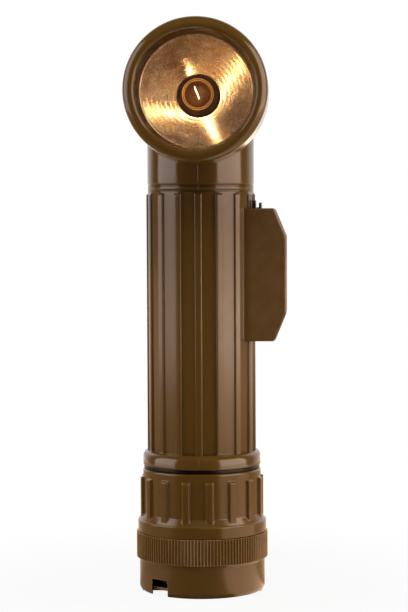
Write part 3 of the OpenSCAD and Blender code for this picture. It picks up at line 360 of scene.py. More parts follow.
def panelNormal(tree, place, rounded):  # nearly flat between the ribs, so each strip shines as one; the flange bulges
    step = 2 * math.pi / bodyShell["panels"]
    spot = addNode(tree, "ShaderNodeSeparateXYZ", links={0: place})
    share = addNode(tree, "ShaderNodeMath", {1: step}, {0: bearingOf(tree, spot)}, operation="DIVIDE")
    panel = addNode(tree, "ShaderNodeMath", operation="FLOOR", links={0: share.outputs[0]})
    middle = addNode(tree, "ShaderNodeMath", {1: step, 2: step / 2}, {0: panel.outputs[0]}, operation="MULTIPLY_ADD")
    right = addNode(tree, "ShaderNodeMath", operation="SINE", links={0: middle.outputs[0]})
    ahead = addNode(tree, "ShaderNodeMath", operation="COSINE", links={0: middle.outputs[0]})
    back = addNode(tree, "ShaderNodeMath", {1: -1.0}, {0: ahead.outputs[0]}, operation="MULTIPLY")
    flat = addNode(tree, "ShaderNodeCombineXYZ", links={"X": right.outputs[0], "Y": back.outputs[0]})
    onTube = addNode(tree, "ShaderNodeMath", {1: bodyShell["panelRadius"] * mm, 2: bodyShell["panelSlack"] * mm},
                     {0: fromTubeAxis(tree, place)}, operation="COMPARE")
    inReach = addNode(tree, "ShaderNodeMath", spanOf(*bodyShell["panelLevel"]), {0: spot.outputs["Z"]},
                      operation="COMPARE")
    both = addNode(tree, "ShaderNodeMath", operation="MULTIPLY", links={0: onTube.outputs[0], 1: inReach.outputs[0]})
    much = addNode(tree, "ShaderNodeMath", {1: bodyShell["flat"]}, {0: both.outputs[0]}, operation="MULTIPLY")
    mix = addNode(tree, "ShaderNodeMix", data_type="VECTOR",
                  links={0: much.outputs[0], 4: rounded, 5: flat.outputs[0]})
    low, high = bodyShell["flangeLevel"]
    onFlange = addNode(tree, "ShaderNodeMath", spanOf(low, high), {0: spot.outputs["Z"]}, operation="COMPARE")
    lean = addNode(tree, "ShaderNodeMapRange",
                   {"From Min": low * mm, "From Max": high * mm, "To Max": bodyShell["lean"]},
                   {"Value": spot.outputs["Z"]})
    rise = addNode(tree, "ShaderNodeMath", operation="MULTIPLY", links={0: onFlange.outputs[0], 1: lean.outputs[0]})
    upward = addNode(tree, "ShaderNodeCombineXYZ", links={"Z": rise.outputs[0]})
    bulged = addNode(tree, "ShaderNodeVectorMath", operation="ADD", links={0: mix.outputs[1], 1: upward.outputs[0]})
    return addNode(tree, "ShaderNodeVectorMath", operation="NORMALIZE", links={0: bulged.outputs[0]}).outputs[0]


def palerGuard(tree, place, colour, rub):  # the switch's guard plates, patchily paler towards their outer part
    spot = addNode(tree, "ShaderNodeSeparateXYZ", links={0: place})
    near, far = bodyShell["guardReach"]
    guard = addNode(tree, "ShaderNodeMath", {1: bodyShell["guardFrom"] * mm}, {0: spot.outputs["X"]},
                    operation="GREATER_THAN")
    level = addNode(tree, "ShaderNodeMath", spanOf(*bodyShell["guardLevel"]), {0: spot.outputs["Z"]},
                    operation="COMPARE")
    beyond = addNode(tree, "ShaderNodeMapRange", {"From Min": near * mm, "From Max": far * mm},
                     {"Value": fromTubeAxis(tree, place)})
    plate = addNode(tree, "ShaderNodeMath", operation="MULTIPLY", links={0: guard.outputs[0], 1: beyond.outputs[0]})
    onPlate = addNode(tree, "ShaderNodeMath", operation="MULTIPLY", links={0: plate.outputs[0], 1: level.outputs[0]})
    paler = addNode(tree, "ShaderNodeMath", operation="MULTIPLY", links={0: onPlate.outputs[0], 1: rub.outputs[0]})
    return addNode(tree, "ShaderNodeMix", {7: linear(bodyShell["paler"])}, {0: paler.outputs[0], 6: colour.outputs[2]},
                   data_type="RGBA")


def mouldedAbsBrown(finish):  # ABS from a polished mould: glossy, rippled, pale at edges from rubbed wear and painted highlight, painted shade in corners
    material, tree, place = startMaterial(finish["name"])
    geometry = addNode(tree, "ShaderNodeNewGeometry")
    rounded = addNode(tree, "ShaderNodeBevel", {"Radius": finish["edgeMm"] * mm}, samples=6)
    same = addNode(tree, "ShaderNodeVectorMath", operation="DOT_PRODUCT",
                   links={0: rounded.outputs[0], 1: geometry.outputs["Normal"]})
    edge = addNode(tree, "ShaderNodeMapRange",
                   {"From Min": absBrown["edgeTurn"][0], "From Max": absBrown["edgeTurn"][1],
                    "To Min": 0.0, "To Max": finish["edgeWearAndLight"]}, {"Value": same.outputs["Value"]})
    stretch = addNode(tree, "ShaderNodeMapping", {"Scale": absBrown["flowStretch"]}, {"Vector": place})
    flow = addNode(tree, "ShaderNodeTexNoise", {"Scale": perMetre(absBrown["flowMm"]), "Detail": 3.0},
                   {"Vector": stretch.outputs[0]})
    body = addNode(tree, "ShaderNodeMix", {6: linear(absBrown["deep"]), 7: linear(absBrown["colour"])},
                   {0: flow.outputs[0]}, data_type="RGBA")
    rub = addNode(tree, "ShaderNodeTexNoise", {"Scale": perMetre(absBrown["dustMm"]), "Detail": 4.0},
                  {"Vector": place})
    patch = addNode(tree, "ShaderNodeMapRange", {"To Min": absBrown["edgePatches"][0], "To Max": absBrown["edgePatches"][1]},
                    {"Value": rub.outputs[0]})
    # pale edges: partly rubbed wear, partly a painted highlight along each rounded edge
    wornAndLitEdge = addNode(tree, "ShaderNodeMath", operation="MULTIPLY", links={0: edge.outputs[0], 1: patch.outputs[0]})
    colour = addNode(tree, "ShaderNodeMix", {7: linear(finish["pale"])}, {0: wornAndLitEdge.outputs[0], 6: body.outputs[2]},
                     data_type="RGBA")
    if "panelled" in finish:
        colour = palerGuard(tree, place, colour, rub)
    # painted shade: ambient occlusion darkens the colour in corners, creases and grooves
    corner = addNode(tree, "ShaderNodeAmbientOcclusion", {"Distance": finish["cornerShadeMm"] * mm}, samples=8,
                     only_local=True)
    cornerShade = addNode(tree, "ShaderNodeMapRange",
                    {"From Min": absBrown["cornerOpen"][0], "From Max": absBrown["cornerOpen"][1],
                     "To Min": finish["cornerShade"], "To Max": 1.0}, {"Value": corner.outputs["AO"]})
    if "boreMm" in finish:  # painted shade: the lens ring's bore is darkened
        bore = addNode(tree, "ShaderNodeMapRange",
                       {"From Min": (finish["boreMm"] - absBrown["boreBlendMm"]) * mm,
                        "From Max": (finish["boreMm"] + absBrown["boreBlendMm"]) * mm,
                        "To Min": finish["boreShade"], "To Max": 1.0}, {"Value": fromLampAxis(tree, place)})
        cornerShade = addNode(tree, "ShaderNodeMath", operation="MULTIPLY", links={0: cornerShade.outputs[0], 1: bore.outputs[0]})
    shadedColour = addNode(tree, "ShaderNodeVectorMath", operation="SCALE",
                    links={0: colour.outputs[2], "Scale": cornerShade.outputs[0]})
    sheen = addNode(tree, "ShaderNodeMapRange",
                    {"From Min": absBrown["rubbing"][0], "From Max": absBrown["rubbing"][1],
                     "To Min": finish["roughness"] + absBrown["sheen"][0],
                     "To Max": finish["roughness"] + absBrown["sheen"][1]}, {"Value": rub.outputs[0]})
    peel = addNode(tree, "ShaderNodeTexNoise", {"Scale": perMetre(absBrown["peelMm"]), "Detail": 2.0},
                   {"Vector": place})
    normal = panelNormal(tree, place, rounded.outputs[0]) if "panelled" in finish else rounded.outputs[0]
    ripple = addNode(tree, "ShaderNodeBump",
                     {"Strength": absBrown["peelStrength"], "Distance": absBrown["peelDepthMm"] * mm},
                     {"Height": peel.outputs[0], "Normal": normal})
    shader = addNode(tree, "ShaderNodeBsdfPrincipled", {"IOR": absBrown["ior"]},
                     {"Base Color": shadedColour.outputs[0], "Roughness": sheen.outputs[0], "Normal": ripple.outputs[0]})
    endMaterial(tree, shader)
    return material


absBlack = {
    "colour": "15151a", "pale": "2a2a2e", "roughness": (0.30, 0.46), "ior": 1.53, "edgeMm": 0.25, "cloudMm": 6.0,
    "grainMm": 0.5,  # drawn coarser than real spark erosion, so that it shows
    "grainStrength": 0.25, "grainDepthMm": 0.03,
}


def mouldedAbsBlack():  # ABS from a spark-eroded mould: satin black with a fine grain
    material, tree, place = startMaterial("moulded ABS black")
    rounded = addNode(tree, "ShaderNodeBevel", {"Radius": absBlack["edgeMm"] * mm}, samples=6)
    grain = addNode(tree, "ShaderNodeTexNoise", {"Scale": perMetre(absBlack["grainMm"]), "Detail": 3.0},
                    {"Vector": place})
    cloud = addNode(tree, "ShaderNodeTexNoise", {"Scale": perMetre(absBlack["cloudMm"]), "Detail": 2.0},
                    {"Vector": place})
    colour = addNode(tree, "ShaderNodeMix", {6: linear(absBlack["colour"]), 7: linear(absBlack["pale"])},
                     {0: cloud.outputs[0]}, data_type="RGBA")
    sheen = addNode(tree, "ShaderNodeMapRange",
                    {"To Min": absBlack["roughness"][0], "To Max": absBlack["roughness"][1]},
                    {"Value": cloud.outputs[0]})
    bump = addNode(tree, "ShaderNodeBump",
                   {"Strength": absBlack["grainStrength"], "Distance": absBlack["grainDepthMm"] * mm},
                   {"Height": grain.outputs[0], "Normal": rounded.outputs[0]})
    shader = addNode(tree, "ShaderNodeBsdfPrincipled", {"IOR": absBlack["ior"]},
                     {"Base Color": colour.outputs[2], "Roughness": sheen.outputs[0], "Normal": bump.outputs[0]})
    endMaterial(tree, shader)
    return material


nitrile = {"colour": "050506", "bloom": "0b0b0d", "bloomMm": 1.5, "bloomStrength": 0.15, "bloomDepthMm": 0.03,
           "roughness": 0.3, "ior": 1.52, "specular": 0.25}


def mouldedNitrileRubber():  # black nitrile rubber from a smooth mould: deep black, oily gloss, faint bloom
    material, tree, place = startMaterial("moulded nitrile rubber")
    bloom = addNode(tree, "ShaderNodeTexNoise", {"Scale": perMetre(nitrile["bloomMm"]), "Detail": 4.0},
                    {"Vector": place})
    colour = addNode(tree, "ShaderNodeMix", {6: linear(nitrile["colour"]), 7: linear(nitrile["bloom"])},
                     {0: bloom.outputs[0]}, data_type="RGBA")
    bump = addNode(tree, "ShaderNodeBump",
                   {"Strength": nitrile["bloomStrength"], "Distance": nitrile["bloomDepthMm"] * mm},
                   {"Height": bloom.outputs[0]})
    shader = addNode(tree, "ShaderNodeBsdfPrincipled",
                     {"Roughness": nitrile["roughness"], "IOR": nitrile["ior"],
                      "Specular IOR Level": nitrile["specular"]},
                     {"Base Color": colour.outputs[2], "Normal": bump.outputs[0]})
    endMaterial(tree, shader)
    return material


polycarbonate = {"colour": "ffffff", "ior": 1.58, "wipeMm": 9.0, "haze": (0.01, 0.04)}


def clearPolycarbonate():  # moulded clear, with faint wipe marks
    material, tree, place = startMaterial("moulded polycarbonate clear")
    wipe = addNode(tree, "ShaderNodeTexNoise", {"Scale": perMetre(polycarbonate["wipeMm"]), "Detail": 3.0},
                   {"Vector": place})
    haze = addNode(tree, "ShaderNodeMapRange",
                   {"To Min": polycarbonate["haze"][0], "To Max": polycarbonate["haze"][1]},
                   {"Value": wipe.outputs[0]})
    clear = addNode(tree, "ShaderNodeBsdfPrincipled",
                    {"Base Color": linear(polycarbonate["colour"]), "IOR": polycarbonate["ior"],
                     "Transmission Weight": 1.0}, {"Roughness": haze.outputs[0]})
    path = addNode(tree, "ShaderNodeLightPath")
    through = addNode(tree, "ShaderNodeBsdfTransparent")
    shader = addNode(tree, "ShaderNodeMixShader",  # lamps shine straight through it
                     links={0: path.outputs["Is Shadow Ray"], 1: clear.outputs[0], 2: through.outputs[0]})
    endMaterial(tree, shader)
    return material


bulbGlass = {
    "smoked": "f6e2bd", "clear": "fff8ea", "smokeMm": 5.0, "limb": "ffdc96", "roughness": 0.3,
    "glow": "ffb650", "glowStrength": 0.45, "limbFacing": (0.62, 0.82), "limbShare": (0.02, 0.85),
    "globeMm": 14.3,  # along the lamp's axis, where the neck ends
}


def blownGlass():  # thin soda glass, faintly smoked by the lamp: clear, with a painted golden glow on its limb
    material, tree, place = startMaterial("blown soda glass")
    smoke = addNode(tree, "ShaderNodeTexNoise", {"Scale": perMetre(bulbGlass["smokeMm"]), "Detail": 2.0},
                    {"Vector": place})
    colour = addNode(tree, "ShaderNodeMix", {6: linear(bulbGlass["smoked"]), 7: linear(bulbGlass["clear"])},
                     {0: smoke.outputs[0]}, data_type="RGBA")
    through = addNode(tree, "ShaderNodeBsdfTransparent", links={"Color": colour.outputs[2]})
    # painted highlight: a faintly glowing gold sheen on the globe's limb
    limbGlowPaint = addNode(tree, "ShaderNodeBsdfPrincipled",
                    {"Base Color": linear(bulbGlass["limb"]), "Metallic": 1.0, "Roughness": bulbGlass["roughness"],
                     "Emission Color": linear(bulbGlass["glow"]), "Emission Strength": bulbGlass["glowStrength"]})
    edge = addNode(tree, "ShaderNodeLayerWeight", {"Blend": 0.5})
    limb = addNode(tree, "ShaderNodeMapRange",
                   {"From Min": bulbGlass["limbFacing"][0], "From Max": bulbGlass["limbFacing"][1],
                    "To Min": bulbGlass["limbShare"][0], "To Max": bulbGlass["limbShare"][1]},
                   {"Value": edge.outputs["Facing"]})
    apart = addNode(tree, "ShaderNodeVectorMath", {1: lampJoint["pos_m"]}, {0: place}, operation="SUBTRACT")
    ahead = addNode(tree, "ShaderNodeVectorMath", {1: lampJoint["axis"]}, {0: apart.outputs[0]},
                    operation="DOT_PRODUCT")
    globe = addNode(tree, "ShaderNodeMath", {1: bulbGlass["globeMm"] * mm}, {0: ahead.outputs["Value"]},
                    operation="GREATER_THAN")
    share = addNode(tree, "ShaderNodeMath", operation="MULTIPLY", links={0: limb.outputs[0], 1: globe.outputs[0]})
    shader = addNode(tree, "ShaderNodeMixShader",
                     links={0: share.outputs[0], 1: through.outputs[0], 2: limbGlowPaint.outputs[0]})
    endMaterial(tree, shader)
    return material


mirrorCoat = {
    "colour": "f6e6d0", "warm": "d2ae88", "roughness": (0.085, 0.115), "haze": 0.5, "hazeShare": (0.2, 0.65),
    "cloudMm": 4.0, "spread": (0.35, 0.65),
    "ringMm": 1.5, "fleckMm": 0.7,  # both drawn coarser than real tool marks and dust, so that they show
    "ringStrength": 0.35, "ringDepthMm": 0.008, "fleckStrength": 0.12, "fleckDepthMm": 0.02,
}


def metallisedAluminium():  # spun aluminium coated in vacuum under warm lacquer: a mirror with rings, clouds and flecks
    material, tree, place = startMaterial("vacuum metallised aluminium")
    low, high = mirrorCoat["spread"]
    cloud = addNode(tree, "ShaderNodeTexNoise", {"Scale": perMetre(mirrorCoat["cloudMm"]), "Detail": 5.0},
                    {"Vector": place})
    spread = addNode(tree, "ShaderNodeMapRange", {"From Min": low, "From Max": high}, {"Value": cloud.outputs[0]})
    fleck = addNode(tree, "ShaderNodeTexNoise", {"Scale": perMetre(mirrorCoat["fleckMm"]), "Detail": 3.0},
                    {"Vector": place})
    colour = addNode(tree, "ShaderNodeMix", {6: linear(mirrorCoat["colour"]), 7: linear(mirrorCoat["warm"])},
                     {0: spread.outputs[0]}, data_type="RGBA")
    phase = addNode(tree, "ShaderNodeMath", {1: 2 * math.pi * perMetre(mirrorCoat["ringMm"])},
                    {0: fromLampAxis(tree, place)}, operation="MULTIPLY")
    rings = addNode(tree, "ShaderNodeMath", operation="SINE", links={0: phase.outputs[0]})
    wave = addNode(tree, "ShaderNodeBump",
                   {"Strength": mirrorCoat["ringStrength"], "Distance": mirrorCoat["ringDepthMm"] * mm},
                   {"Height": rings.outputs[0]})
    pits = addNode(tree, "ShaderNodeBump",
                   {"Strength": mirrorCoat["fleckStrength"], "Distance": mirrorCoat["fleckDepthMm"] * mm},
                   {"Height": fleck.outputs[0], "Normal": wave.outputs[0]})
    sheen = addNode(tree, "ShaderNodeMapRange",
                    {"To Min": mirrorCoat["roughness"][0], "To Max": mirrorCoat["roughness"][1]},
                    {"Value": spread.outputs[0]})
    sharp = addNode(tree, "ShaderNodeBsdfPrincipled", {"Metallic": 1.0},
                    {"Base Color": colour.outputs[2], "Roughness": sheen.outputs[0], "Normal": pits.outputs[0]})
    soft = addNode(tree, "ShaderNodeBsdfPrincipled", {"Metallic": 1.0, "Roughness": mirrorCoat["haze"]},
                   {"Base Color": colour.outputs[2], "Normal": pits.outputs[0]})
    dust = addNode(tree, "ShaderNodeMapRange",
                   {"From Min": low, "From Max": high, "To Min": mirrorCoat["hazeShare"][0],
                    "To Max": mirrorCoat["hazeShare"][1]}, {"Value": fleck.outputs[0]})
    shader = addNode(tree, "ShaderNodeMixShader",
                     links={0: dust.outputs[0], 1: sharp.outputs[0], 2: soft.outputs[0]})
    endMaterial(tree, shader)
    return material


metalSheet = {"stretch": (1.0, 1.0, 0.15), "stainMm": 5.0, "sheen": (-0.08, 0.1), "grainStrength": 0.15,
              "grainDepthMm": 0.02}
metals = {  # the grain is drawn coarser than real rolling marks, so that it shows
    "brass": {"name": "rolled brass", "light": "d9b25a", "dark": "b0873a", "roughness": 0.28, "grainMm": 0.5},
    "agedBrass": {"name": "drawn brass, heat darkened", "light": "98693c", "dark": "6a4424", "roughness": 0.5,
                  "grainMm": 0.5},
    "nickel": {"name": "nickel plated steel", "light": "c9c6bf", "dark": "a9a7a2", "roughness": 0.26, "grainMm": 0.4},
}


def rolledMetal(metal):  # sheet or wire metal: brushed along its length, lightly tarnished
    material, tree, place = startMaterial(metal["name"])
    stretch = addNode(tree, "ShaderNodeMapping", {"Scale": metalSheet["stretch"]}, {"Vector": place})
    grain = addNode(tree, "ShaderNodeTexNoise", {"Scale": perMetre(metal["grainMm"]), "Detail": 4.0},
                    {"Vector": stretch.outputs[0]})
    stain = addNode(tree, "ShaderNodeTexNoise", {"Scale": perMetre(metalSheet["stainMm"]), "Detail": 3.0},
                    {"Vector": place})
    colour = addNode(tree, "ShaderNodeMix", {6: linear(metal["dark"]), 7: linear(metal["light"])},
                     {0: stain.outputs[0]}, data_type="RGBA")
    sheen = addNode(tree, "ShaderNodeMapRange",
                    {"To Min": metal["roughness"] + metalSheet["sheen"][0],
                     "To Max": metal["roughness"] + metalSheet["sheen"][1]}, {"Value": grain.outputs[0]})
    bump = addNode(tree, "ShaderNodeBump",
                   {"Strength": metalSheet["grainStrength"], "Distance": metalSheet["grainDepthMm"] * mm},
                   {"Height": grain.outputs[0]})
    shader = addNode(tree, "ShaderNodeBsdfPrincipled", {"Metallic": 1.0},
                     {"Base Color": colour.outputs[2], "Roughness": sheen.outputs[0], "Normal": bump.outputs[0]})
    endMaterial(tree, shader)
    return material


enamel = {"colour": "101013", "scuffed": "232327", "scuffMm": 3.0, "peelMm": 0.8, "peelStrength": 0.2,
          "peelDepthMm": 0.03, "edgeMm": 0.25, "roughness": (0.2, 0.4), "ior": 1.5}


def stovedEnamelBlack():  # black stoved enamel on steel: even gloss with a slight orange peel
    material, tree, place = startMaterial("stoved enamel black")
    peel = addNode(tree, "ShaderNodeTexNoise", {"Scale": perMetre(enamel["peelMm"]), "Detail": 2.0},
                   {"Vector": place})
    scuff = addNode(tree, "ShaderNodeTexNoise", {"Scale": perMetre(enamel["scuffMm"]), "Detail": 5.0},
                    {"Vector": place})
    colour = addNode(tree, "ShaderNodeMix", {6: linear(enamel["colour"]), 7: linear(enamel["scuffed"])},
                     {0: scuff.outputs[0]}, data_type="RGBA")
    rounded = addNode(tree, "ShaderNodeBevel", {"Radius": enamel["edgeMm"] * mm}, samples=6)
    bump = addNode(tree, "ShaderNodeBump",
                   {"Strength": enamel["peelStrength"], "Distance": enamel["peelDepthMm"] * mm},
                   {"Height": peel.outputs[0], "Normal": rounded.outputs[0]})
    sheen = addNode(tree, "ShaderNodeMapRange",
                    {"To Min": enamel["roughness"][0], "To Max": enamel["roughness"][1]},
                    {"Value": scuff.outputs[0]})
    shader = addNode(tree, "ShaderNodeBsdfPrincipled", {"IOR": enamel["ior"]},
                     {"Base Color": colour.outputs[2], "Roughness": sheen.outputs[0], "Normal": bump.outputs[0]})
    endMaterial(tree, shader)
    return material


tungsten = {"colour": "fff0da", "spotMm": 0.4, "heat": (44.0, 66.0)}


def tungstenGlow():  # drawn wire at full heat: white with a warm cast, a little uneven
    material, tree, place = startMaterial("drawn tungsten, hot")
    spot = addNode(tree, "ShaderNodeTexNoise", {"Scale": perMetre(tungsten["spotMm"])}, {"Vector": place})
    heat = addNode(tree, "ShaderNodeMapRange", {"To Min": tungsten["heat"][0], "To Max": tungsten["heat"][1]},
                   {"Value": spot.outputs[0]})
    glow = addNode(tree, "ShaderNodeEmission", {"Color": linear(tungsten["colour"])}, {"Strength": heat.outputs[0]})
    endMaterial(tree, glow)
    return material


acrylic = {"ior": 1.49, "transmission": 0.75, "cloudMm": 6.0, "sheen": 0.06}
acrylicTints = {
    "red": {"name": "cast acrylic red", "colour": "c01616", "roughness": 0.06},
    "blue": {"name": "cast acrylic blue", "colour": "1b3fae", "roughness": 0.06},
    "white": {"name": "cast acrylic frosted", "colour": "f2f3f2", "roughness": 0.4},
}


def castAcrylic(tint):  # cast acrylic disc, tinted through: clear and glossy, or frosted
    material, tree, place = startMaterial(tint["name"])
    cloud = addNode(tree, "ShaderNodeTexNoise", {"Scale": perMetre(acrylic["cloudMm"]), "Detail": 2.0},
                    {"Vector": place})
    sheen = addNode(tree, "ShaderNodeMapRange",
                    {"To Min": tint["roughness"], "To Max": tint["roughness"] + acrylic["sheen"]},
                    {"Value": cloud.outputs[0]})
    shader = addNode(tree, "ShaderNodeBsdfPrincipled",
                     {"Base Color": linear(tint["colour"]), "IOR": acrylic["ior"],
                      "Transmission Weight": acrylic["transmission"]}, {"Roughness": sheen.outputs[0]})
    endMaterial(tree, shader)
    return material


pvcSleeve = {"dark": "1f3348", "light": "2b4763", "cloudMm": 5.0, "roughness": 0.25, "ior": 1.53}


def shrunkPvcSleeve():  # plain PVC sleeve shrunk on the cells: glossy dark blue
    material, tree, place = startMaterial("shrunk PVC sleeve")
    cloud = addNode(tree, "ShaderNodeTexNoise", {"Scale": perMetre(pvcSleeve["cloudMm"]), "Detail": 2.0},
                    {"Vector": place})
    colour = addNode(tree, "ShaderNodeMix", {6: linear(pvcSleeve["dark"]), 7: linear(pvcSleeve["light"])},
                     {0: cloud.outputs[0]}, data_type="RGBA")
    shader = addNode(tree, "ShaderNodeBsdfPrincipled",
                     {"Roughness": pvcSleeve["roughness"], "IOR": pvcSleeve["ior"]}, {"Base Color": colour.outputs[2]})
    endMaterial(tree, shader)
    return material


foamSheet = {"dark": "2c2c2e", "light": "454548", "cellMm": 0.7, "cellStrength": 0.6, "cellDepthMm": 0.1,
             "roughness": 0.85}


def cutFoam():  # polyethylene foam cut from sheet: open cells, matt
    material, tree, place = startMaterial("cut polyethylene foam")
    cells = addNode(tree, "ShaderNodeTexVoronoi", {"Scale": perMetre(foamSheet["cellMm"])}, {"Vector": place})
    bump = addNode(tree, "ShaderNodeBump",
                   {"Strength": foamSheet["cellStrength"], "Distance": foamSheet["cellDepthMm"] * mm},
                   {"Height": cells.outputs["Distance"]})
    colour = addNode(tree, "ShaderNodeMix", {6: linear(foamSheet["dark"]), 7: linear(foamSheet["light"])},
                     {0: cells.outputs["Distance"]}, data_type="RGBA")
    shader = addNode(tree, "ShaderNodeBsdfPrincipled", {"Roughness": foamSheet["roughness"]},
                     {"Base Color": colour.outputs[2], "Normal": bump.outputs[0]})
    endMaterial(tree, shader)
    return material


finishes = {
    **{key: mouldedAbsBrown(finish) for key, finish in brownFinishes.items()},
    **{key: rolledMetal(metal) for key, metal in metals.items()},
    **{key: castAcrylic(tint) for key, tint in acrylicTints.items()},
    "black": mouldedAbsBlack(),
    "rubber": mouldedNitrileRubber(),
    "lens": clearPolycarbonate(),
    "glass": blownGlass(),
    "mirror": metallisedAluminium(),
    "enamel": stovedEnamelBlack(),
    "hot": tungstenGlow(),
    "sleeve": shrunkPvcSleeve(),
    "foam": cutFoam(),
}
print("materials made:", len(finishes))

wearsOf = {
    "brown": ["bulb_holder"],
    "ringBrown": ["lens_ring"],
    "panelBrown": ["body_shell"],
    "ribbedBrown": ["tail_cap"],
    "knurledBrown": ["base_cap"],
    "black": ["insulator_disc", "switch_plate", "switch_slide", "signal_button"],
    "rubber": ["lens_gasket", "switch_gasket", "tail_seal"],
    "lens": ["lens"],
    "glass": ["bulb_glass"],
    "mirror": ["reflector"],
    "agedBrass": ["bulb_base"],
    "brass": ["lamp_contact", "lamp_conductor", "side_conductor", "switch_studs", "slide_contact",
              "tail_contact"],
    "nickel": ["switch_rivets", "button_spring", "clip_rivets", "tail_spring", "loop_bracket", "loop_rivets"],
    "enamel": ["clip_plate", "belt_clip", "hanging_loop"],
    "hot": ["filament"],
    "sleeve": ["upper_cell", "lower_cell"],
    "red": ["red_filter"],
    "blue": ["blue_filter"],
    "white": ["diffuser"],
    "foam": ["filter_cushion"],
}
for finish, names in wearsOf.items():
    for name in names:
        mesh = nodes[name].data
        mesh.materials.clear()
        mesh.materials.append(finishes[finish])
print("solids finished:", sum(len(names) for names in wearsOf.values()))


# Pieces made finer than the solids
lampAxis = Vector(lampJoint["axis"]).normalized()
lampSide = Vector((1, 0, 0))
lampUp = lampSide.cross(lampAxis)
lampPlace = Matrix.Translation(lampJoint["pos_m"]) @ Matrix((lampSide, -lampUp, lampAxis)).transposed().to_4x4()


def makePiece(name, points, faces, place, finish, body, sharpAngle=40):  # points in mm in their own frame
    mesh = bpy.data.meshes.new(name)
    mesh.from_pydata([place @ (Vector(p) * mm) for p in points], [], faces)
    mesh.polygons.foreach_set("use_smooth", [True] * len(mesh.polygons))
    mesh.set_sharp_from_angle(angle=math.radians(sharpAngle))
    mesh.materials.append(finishes[finish])
    piece = bpy.data.objects.new(name, mesh)
    scene.collection.objects.link(piece)
    if body:
        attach(piece, body)
    return piece


def turned(profile, sides):  # a closed outline of (radius, height) turned about the axis
    count = len(profile)
    points = [(r * math.cos(2 * math.pi * i / sides), r * math.sin(2 * math.pi * i / sides), h)
              for i in range(sides) for r, h in profile]
    faces = [(i * count + k, i * count + (k + 1) % count, (i + 1) % sides * count + (k + 1) % count,
              (i + 1) % sides * count + k) for i in range(sides) for k in range(count)]
    return points, faces


def swept(path, radius, sides):  # a round wire along a path
    points, faces = [], []
    side = Vector((0.31, 0.17, 0.93))  # along none of the paths
    for i, spot in enumerate(path):
        ahead = (Vector(path[min(i + 1, len(path) - 1)]) - Vector(path[max(i - 1, 0)])).normalized()
        side = (side - ahead * side.dot(ahead)).normalized()
        other = ahead.cross(side)
        for k in range(sides):
            turn = 2 * math.pi * k / sides
            points.append(tuple(Vector(spot) + radius * (math.cos(turn) * side + math.sin(turn) * other)))
    for i in range(len(path) - 1):
        for k in range(sides):
            n = (k + 1) % sides
            faces.append((i * sides + k, i * sides + n, (i + 1) * sides + n, (i + 1) * sides + k))
    faces.append(tuple(range(sides - 1, -1, -1)))
    faces.append(tuple((len(path) - 1) * sides + k for k in range(sides)))
    return points, faces


reflectorForm = {"edgeAt": 27.35, "edgeRadius": 20.0, "throatRadius": 8.0, "focus": 5.3, "sheet": 0.75,
                 "lipRadius": 22.3, "lipThick": 0.5, "collar": 5.0, "roll": 0.5, "rollSteps": 6, "steps": 40,
                 "sides": 128, "sharpAngle": 30}


def makeReflector():
    form = reflectorForm
    vertex = form["edgeAt"] - form["edgeRadius"] ** 2 / (4 * form["focus"])
    lipLow = form["edgeAt"] - form["lipThick"]
    backRadius = math.sqrt((lipLow - vertex) * 4 * form["focus"])

    def dish(outer, grow):
        throat, steps = form["throatRadius"], form["steps"]
        radii = [throat + (outer - throat) * i / steps for i in range(steps + 1)]
        return [(r + grow, vertex + r * r / (4 * form["focus"])) for r in radii]

    collarAt = vertex + form["throatRadius"] ** 2 / (4 * form["focus"]) - form["collar"]
    slope = math.atan(form["edgeRadius"] / (2 * form["focus"]))
    turns = [slope * (1 - i / form["rollSteps"]) for i in range(form["rollSteps"] + 1)]  # round the rolled edge
    roll = [(form["edgeRadius"] + form["roll"] * (math.tan(slope / 2) - math.sin(turn)),
             form["edgeAt"] - form["roll"] * (1 - math.cos(turn))) for turn in turns]
    profile = [(form["throatRadius"], collarAt)] + dish(roll[0][0], 0)[:-1] + roll
    profile += [(form["lipRadius"], form["edgeAt"]), (form["lipRadius"], lipLow)]
    profile += dish(backRadius, form["sheet"])[::-1] + [(form["throatRadius"] + form["sheet"], collarAt)]
    points, faces = turned(profile, form["sides"])
    piece = makePiece("reflectorBowl", points, faces, lampPlace, "mirror", "housing",
                      form["sharpAngle"])
    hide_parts("reflector")


filamentForm = {"start": (0.25, -1.11, 12.22), "middle": (-0.58, 1.15, 13.76), "end": (-1.3, 2.87, 15.68),
                "coilRadius": 0.12, "turns": 36, "turnSteps": 10, "wire": 0.05, "sides": 6,
                "foot": 8.23, "post": 0.2, "postGap": 2.4, "postRise": 1.6, "postSides": 10}


def makeFilament():  # a long slack coil, bowed between its two posts
    form = filamentForm
    start, middle, end = (Vector(form[key]) for key in ("start", "middle", "end"))
    pull = 2 * middle - (start + end) / 2
    steps = form["turns"] * form["turnSteps"]
    coil = []
    for i in range(steps + 1):
        t = i / steps
        spot = (1 - t) ** 2 * start + 2 * t * (1 - t) * pull + t ** 2 * end
        along = ((1 - t) * (pull - start) + t * (end - pull)).normalized()
        across = along.cross(Vector((1, 0, 0))).normalized()
        angle = 2 * math.pi * form["turns"] * t
        outward = math.cos(angle) * across + math.sin(angle) * along.cross(across)
        coil.append(tuple(spot + form["coilRadius"] * outward))
    points, faces = swept(coil, form["wire"], form["sides"])
    piece = makePiece("filamentCoil", points, faces, lampPlace, "hot", "housing")
    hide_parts("filament")
    for number, (share, tip) in enumerate(((0.5, start), (-0.5, end))):
        foot = Vector((form["postGap"] * share, 0, form["foot"]))
        bend = foot + Vector((0, 0, form["postRise"]))
        points, faces = swept([tuple(p) for p in (foot, bend, tip)], form["post"], form["postSides"])
        makePiece("filamentPost%d" % (number + 1), points, faces, lampPlace, "nickel", "housing")


makeReflector()
makeFilament()
print("lamp made finer")

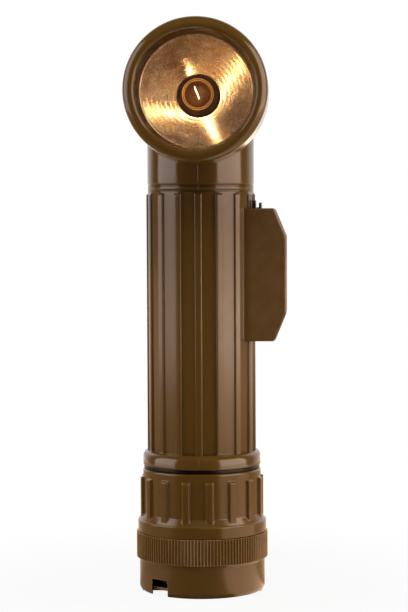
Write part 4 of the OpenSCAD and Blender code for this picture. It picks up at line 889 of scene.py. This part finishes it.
partingForm = {"wire": 0.16, "sunk": 0.07, "sides": 8, "neck": [(19.65, 166.0), (19.65, 150.9), (19.55, 150.4)],
               "bead": [(18.95, 150.0), (19.25, 149.3), (19.25, 148.4), (18.95, 147.7)],
               "flange": [(20.0, 52.0), (20.8, 51.8), (21.5, 51.1), (21.75, 50.15), (21.75, 47.0)]}


def makePartingLines():  # the fine flash line left where the mould's halves met, down the middle of the front
    form = partingForm
    for name in ("neck", "bead", "flange"):
        path = [(0.0, form["sunk"] - radius, height) for radius, height in form[name]]
        points, faces = swept(path, form["wire"], form["sides"])
        makePiece(name + "PartingLine", points, faces, Matrix(), "brown", "housing")


makePartingLines()
print("parting lines drawn")

tailSpringForm = {"foot": 14.0, "head": 9.0, "turns": 4.5, "wire": 1.6, "steps": 100, "sides": 10}
buttonSpringForm = {"turns": 3.0, "wire": 0.5, "steps": 72, "sides": 8}


def coiled(form, foot, head, height):  # wound upwards about the axis from the middle of the foot
    path = []
    for i in range(form["steps"] + 1):
        share = i / form["steps"]
        angle, radius = 2 * math.pi * form["turns"] * share, foot + (head - foot) * share
        path.append((radius * math.cos(angle), radius * math.sin(angle), height * share))
    return swept(path, form["wire"] / 2, form["sides"])


def makeSprings():  # coils wound in place of the tail spring and the button spring
    form = tailSpringForm
    low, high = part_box("tail_spring")
    points, faces = coiled(form, form["foot"], form["head"], (high[2] - low[2]) / mm - form["wire"])
    place = Matrix.Translation((0, 0, low[2] + form["wire"] * mm / 2))
    piece = makePiece("tailSpringCoil", points, faces, place, "nickel", None)
    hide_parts("tail_spring")
    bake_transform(piece)
    form = buttonSpringForm
    low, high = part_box("button_spring")
    radius = (high[2] - low[2]) / mm / 2 - form["wire"] / 2
    length = (high[0] - low[0]) / mm
    points, faces = coiled(form, radius, radius, length - form["wire"])
    middle = ((low[1] + high[1]) / 2, (low[2] + high[2]) / 2)
    place = Matrix.Translation((low[0] + form["wire"] * mm / 2, *middle)) @ Matrix.Rotation(math.pi / 2, 4, "Y")
    piece = makePiece("buttonSpringCoil", points, faces, place, "nickel", "housing")
    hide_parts("button_spring")
    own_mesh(piece)


makeSprings()
print("springs wound")
